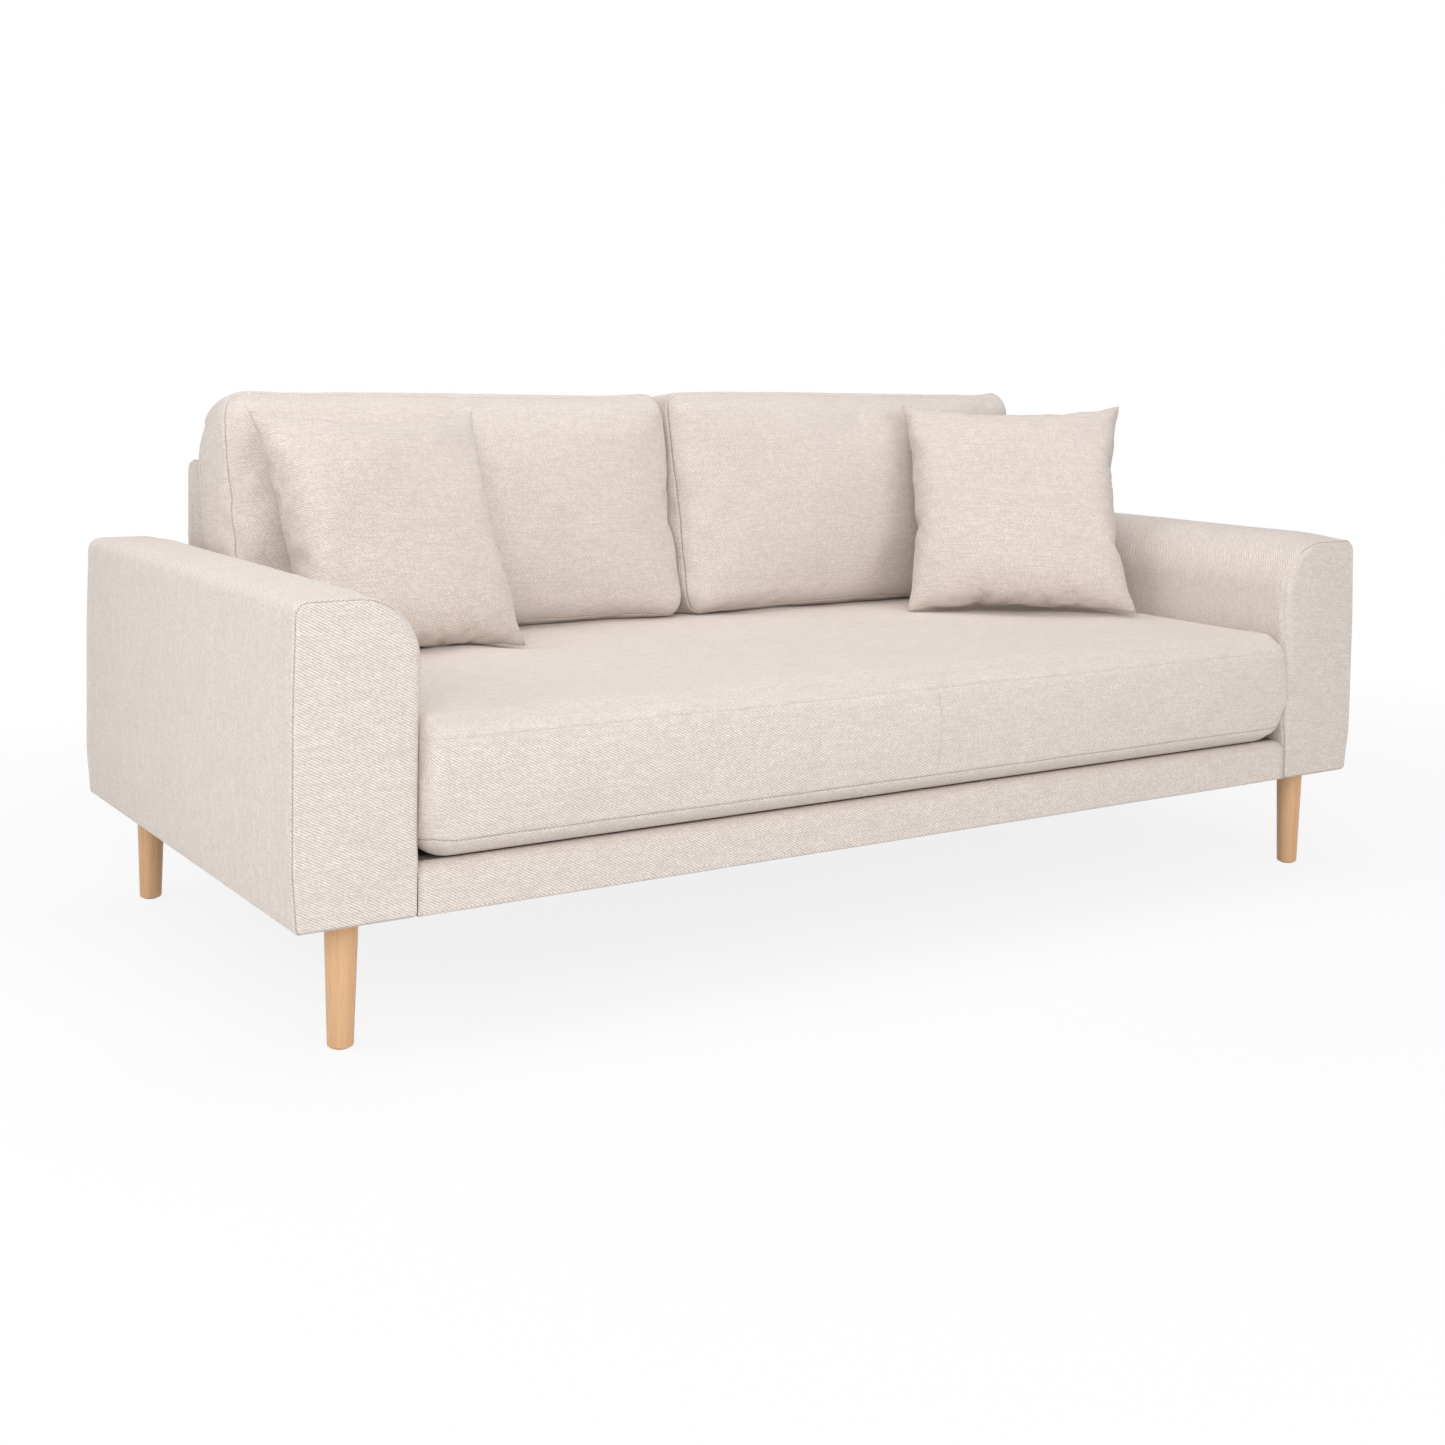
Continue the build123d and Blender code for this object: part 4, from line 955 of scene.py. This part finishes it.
for side, seed in (("left", 21), ("right", 22)):
    low, high = (np.array(corner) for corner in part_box(f"back_cushion_cover_{side}"))
    box_low = np.array([low[0], 0.0, 0.0])
    box_high = np.array([high[0], CUSHION_TALL, CUSHION_THICK])
    start = np.array([0.0, foot + SLOPE * (low[2] - knee), low[2]]) + BACK_GAP * out

    def cushion_form(points):
        """A plain back cushion with rounded edges, leaning back, with its underside level."""
        ahead = eased(points[:, 2], *(share * CUSHION_THICK for share in CUSHION_AHEAD))
        top = eased(points[:, 1], *(CUSHION_TALL - below for below in CUSHION_TOP))
        bottom = 1 - eased(points[:, 1], *CUSHION_FOOT)

        def radius(place):
            return CUSHION_ROUND["rear" + place] * (1 - ahead) + CUSHION_ROUND["front" + place] * ahead

        outer = top * eased(np.abs(points[:, 0]), *CUSHION_OUTER)
        corner = CUSHION_CORNERS[side][1] * (1 - ahead) + CUSHION_CORNERS[side][0] * ahead
        ends = radius("") * (1 - outer) + corner * outer
        edges = np.where(points[:, 1] > CUSHION_TALL / 2, radius("_top"), radius("_foot"))
        depth = radius("") * (1 - top - bottom) + radius("_top") * top + radius("_foot") * bottom
        rounding = np.stack([ends, edges, depth], axis=1)
        form = rounded_box(points, box_low, box_high, rounding)
        across = (form[:, 0] - low[0]) / (high[0] - low[0])
        rise, right_end = CUSHION_ARCH[side]
        rise = rise * ARCH_SCALE * across * (1 - across) ** 2 + right_end * eased(across, *ARCH_RIGHT)
        form[:, 1] += rise * (form[:, 1] / CUSHION_TALL) ** 3
        level = form[:, 1] - SLOPE * form[:, 2] * (1 - form[:, 1] / CUSHION_TALL)
        return start + form[:, :1] * np.array([1.0, 0, 0]) + level[:, None] * up + form[:, 2:] * out

    coarse = [spaced(first, last, CUSHION_COARSE) for first, last in zip(box_low, box_high)]
    coarse_rank, moved = filled(
        cushion_form, coarse, lambda points: points[:, 2] < TOUCH, CUSHION_FRAMES, out, CUSHION_FULL)
    fine = [fine_lines(box_low[0], box_high[0], CUSHION_STEP, max(CUSHION_CORNERS[side])),
            fine_lines(0, CUSHION_TALL, CUSHION_STEP, CUSHION_ROUND["front_top"]),
            fine_lines(0, CUSHION_THICK, CUSHION_STEP, CUSHION_ROUND["front_top"], CUSHION_SEAMS)]
    flat, quads, rank, sides = box_grid(*fine)
    form = cushion_form(flat) + carried(coarse, coarse_rank, moved, fine, rank)
    form[:, 0] = np.clip(form[:, 0], low[0], high[0])
    form[:, 2] = np.maximum(form[:, 2], low[2])
    behind = 1 - eased(flat[:, 2], CUSHION_REAR, CUSHION_SEAMS[1])
    over = CUSHION_OVER[0] + (CUSHION_OVER[1] - CUSHION_OVER[0]) * behind
    over *= eased(form[:, 2], *ARM_ROUNDED) * eased(np.abs(form[:, 0]), *OVER_END)
    form[:, 0] += np.sign(form[:, 0]) * over
    inside = eased(flat[:, 2], CUSHION_SEAMS[1], CUSHION_THICK) * eased(form[:, 2] - low[2], *CUSHION_LEVEL)
    form += (CUSHION_WAVE * waviness(flat, CUSHION_WAVE_SIZE, 1.0, seed) * inside)[:, None] * out
    boxing = ((flat < box_low + TOUCH) | (flat > box_high - TOUCH))[:, :2].any(axis=1)
    distance = np.abs(flat[:, 2:] - CUSHION_SEAMS).min(axis=1)
    form, normals, near = sewn(form, quads, [(boxing, distance, 1.0)])
    weave = panel_weave(flat, quads, sides, near, True)
    cushion = add_piece(f"back_cushion_sewn_{side}", form, quads.tolist(), sand_twill, weave)
    covered = [f"back_cushion_cover_{side}", f"back_cushion_core_{side}"]
    upholster(cushion, f"back_cushion_{side}", covered)
    lines = [seam_round(form, normals, rank, fine[2], place) for place in CUSHION_SEAMS]
    add_stitches(f"back_cushion_stitches_{side}", lines, f"back_cushion_{side}")


# Scatter pillows
# Two square covers of a plainer weave, sewn edge to edge round a loose fibre filling, with the corners
# left pointed. They stand on the tips of their lower corners and lean back.

pillow_twill = twill("pillow_weave", (0.93, 0.847, 0.79), (0.52, 0.428, 0.369), (0.61, 0.536, 0.49), 0.56)

PILLOW_THICK = 0.128      # through its middle
PILLOW_SEAM = 0.004       # thickness of its edges before it swells
PILLOW_CLOTH = 0.448      # side of the cover laid flat
PILLOW_STEP = 0.0075      # of its mesh
PILLOW_PRESSURE, PILLOW_FRAMES = 4.0, 16   # with which it swells
# The height of the folds and the waves are in metres, and the rest are shares of half its width.
PILLOW_PUCKER = 0.0016    # height of the small folds at its corners
PILLOW_WAVE, PILLOW_WAVE_SIZE = 0.0016, 0.15   # unevenness of its filling
FOLD_REACH, FOLD_EDGE, FOLD_TURNS = 0.5, 0.06, 22   # how far in they run, where they begin, how close
PILLOW_MIDDLE = (0.05, 0.35)   # in from its edges, where the unevenness begins
PILLOW_EARS = 0.13        # how much narrower its corners are behind their tips
EAR_PLACE, EAR_WIDTH = 0.24, 0.13   # in from the tips, where they are narrowest
PILLOW_HANG = 0.05        # how far its lower edge hangs down
EDGE_RUN, TIP_REACH = (0.2, 0.95), 0.55   # out from its middle, where an edge moves, and round a tip
# Width between the tips, degrees of turn, lean and roll, how far it has slid from the CAD's place, and how
# far its left edge and its upper left tip stand out.
PILLOWS = {
    "left": (0.4314, (8.73, 23.77, -0.78), (-0.0056, 0.0029, -0.0104), (0.0, 0.004)),
    "right": (0.4458, (-35.09, 27.09, 0.82), (-0.0035, 0.0009, 0.0116), (0.007, 0.0)),
}

side_lines = spaced(-PILLOW_CLOTH / 2, PILLOW_CLOTH / 2, PILLOW_STEP)
flat, quads, rank, sides = box_grid(side_lines, side_lines, np.array([-0.5, 0.5]) * PILLOW_SEAM)
puffed = swollen(flat, quads, np.zeros(len(flat), bool), PILLOW_PRESSURE, PILLOW_FRAMES)
size = np.abs(puffed).max(axis=0)
puffed /= size
corner = 1 - np.abs(puffed[:, :2])
inward, across = corner.sum(axis=1), corner[:, 0] - corner[:, 1]
folds = np.exp(-(inward / FOLD_REACH) ** 2) * eased(corner.min(axis=1), 0.0, FOLD_EDGE)
folds *= np.cos(across * FOLD_TURNS)
puffed[:, 2] += np.sign(puffed[:, 2]) * folds * PILLOW_PUCKER / (PILLOW_THICK / 2)
uneven = eased(corner.min(axis=1), *PILLOW_MIDDLE) * waviness(flat, PILLOW_WAVE_SIZE, PILLOW_WAVE, 41)
puffed[:, 2] += np.sign(puffed[:, 2]) * uneven / (PILLOW_THICK / 2)
ear = 0.5 * PILLOW_EARS * across * np.exp(-((inward - EAR_PLACE) / EAR_WIDTH) ** 2)
puffed[:, 0] += np.sign(puffed[:, 0]) * ear
puffed[:, 1] -= np.sign(puffed[:, 1]) * ear
low_edge = eased(-puffed[:, 1], *EDGE_RUN) * (1 - puffed[:, 0] ** 2)
puffed[:, 1] -= PILLOW_HANG * low_edge
left_edge = eased(-puffed[:, 0], *EDGE_RUN) * (1 - puffed[:, 1] ** 2)
left_tip = np.exp(-(inward / TIP_REACH) ** 2) * (puffed[:, 0] < 0) * (puffed[:, 1] > 0)
for side, (wide, (turn, lean, roll), slid, (edge_out, tip_out)) in PILLOWS.items():
    low, high = (np.array(corner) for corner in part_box(f"pillow_cover_{side}"))
    turns = ((turn, "Z"), (90 - lean, "X"), (roll, "Z"))
    first, second, third = (np.array(Matrix.Rotation(math.radians(angle), 3, axis)) for angle, axis in turns)
    form = puffed * np.array([wide / 2, wide / 2, PILLOW_THICK / 2])
    form[:, 0] -= edge_out * left_edge + tip_out * left_tip
    form = (low + high) / 2 + slid + form @ (first @ second @ third).T
    weave = panel_weave(flat, quads, sides, np.zeros(len(flat)), True)
    pillow = add_piece(f"pillow_sewn_{side}", form, quads.tolist(), pillow_twill, weave)
    covered = [f"pillow_cover_{side}", f"pillow_filling_{side}"]
    upholster(pillow, f"pillow_{side}", covered)


# Floor, light and camera
# A white studio floor that fades into a white background, soft light from above and the front left, and
# the camera where the photograph was taken.

FLOOR_SIZE = 40.0
FLOOR_FADE = (1.3, 2.6)   # distance over which the floor turns to plain white
FLOOR_OVAL = (0.8, 1.2, 1.0)   # how fast that distance counts along each axis
FLOOR_WHITE = 0.85        # how white the camera sees it near the sofa
WHITE = (1.0, 1.0, 1.0, 1.0)
BACKGROUND_RAYS = ("Is Camera Ray", "Is Glossy Ray", "Is Transmission Ray")


def background_seen(field):
    """1 for rays from the camera, also by way of a shine or through glass, and 0 for those that light."""
    camera, shiny, through = (field.node("LightPath", {}, {}, output=ray) for ray in BACKGROUND_RAYS)
    return camera.math("MAXIMUM", camera, shiny.math("MAXIMUM", shiny, through))


mesh = bpy.data.meshes.new("floor")
edge = FLOOR_SIZE / 2
mesh.from_pydata([(-edge, -edge, 0), (edge, -edge, 0), (edge, edge, 0), (-edge, edge, 0)], [], [(0, 1, 2, 3)])
floor = linked("floor", mesh)
material, sockets, place = new_finish("floor_white")
sockets["Base Color"].default_value = (0.86, 0.86, 0.86, 1.0)
sockets["Roughness"].default_value = 1.0
sockets["Specular IOR Level"].default_value = 0.0
around = place.stretched(FLOOR_OVAL)
reach = around.node("VectorMath", {"operation": "LENGTH"}, {0: around}, output="Value")
shine = place.node("Emission", {}, {"Color": WHITE, "Strength": 1.0})
tree = material.node_tree
painted = Field(tree, tree.nodes["Principled BSDF"].outputs[0])
white = background_seen(place) * (reach.clamped(*FLOOR_FADE) * (1 - FLOOR_WHITE) + FLOOR_WHITE)
surface = place.node("MixShader", {}, {0: white, 1: painted, 2: shine})
surface.feed(tree.nodes["Material Output"].inputs["Surface"])
mesh.materials.append(material)

ROOM_LIGHT = 0.32         # strength of the white room round the sofa
world = bpy.data.worlds.new("studio")
bpy.context.scene.world = world
world.use_nodes = True
tree = world.node_tree
tree.nodes.clear()
strength = background_seen(Field(tree)) * (1.0 - ROOM_LIGHT) + ROOM_LIGHT
room = strength.node("Background", {}, {"Color": WHITE, "Strength": strength})
room.feed(tree.nodes.new("ShaderNodeOutputWorld").inputs["Surface"])


def aimed(place, ahead, roll=0.0):
    """Placing of a lamp or a camera that looks along a direction."""
    ahead = np.array(ahead) / np.linalg.norm(ahead)
    right = np.cross(ahead, (0.0, 0.0, 1.0))
    right /= np.linalg.norm(right)
    x = math.cos(roll) * right + math.sin(roll) * np.cross(right, ahead)
    turned = np.stack([x, np.cross(x, ahead), -ahead], axis=1)
    return Matrix.Translation(place) @ Matrix(turned.tolist()).to_4x4()


LAMPS = {   # place, where it points, size in metres and power
    "key": ((-2.6, -3.4, 2.8), (2.4, 3.4, -2.4), 3.0, 81.0),
    "front": ((0.4, -4.6, 1.7), (-0.2, 4.4, -1.2), 3.0, 55.0),
    "top": ((0.0, 0.3, 3.8), (0.0, -0.3, -3.4), 3.2, 58.0),
    "side": ((-2.7, -0.2, 1.2), (1.6, 0.3, -0.6), 1.6, 13.3),
}
for name, (place, ahead, size, power) in LAMPS.items():
    lamp = bpy.data.lights.new(name, "AREA")
    lamp.shape = "DISK"
    lamp.size = size
    lamp.energy = power
    held = linked(name, lamp)
    held.matrix_world = aimed(place, ahead)
    held.visible_camera = False

CAMERA_PLACE = (-1.9656, -2.8304, 0.9437)
YAW, PITCH, ROLL = (math.radians(angle) for angle in (33.729, 3.009, 0.972))
view = bpy.data.cameras.new("camera")
view.sensor_width = 36.0
view.lens = 47.82
view.shift_y = -0.182
camera = linked("camera", view)
camera.matrix_world = aimed(
    CAMERA_PLACE, (math.sin(YAW) * math.cos(PITCH), math.cos(YAW) * math.cos(PITCH), -math.sin(PITCH)), ROLL)
bpy.context.scene.camera = camera
bpy.context.scene.view_settings.view_transform = "Standard"
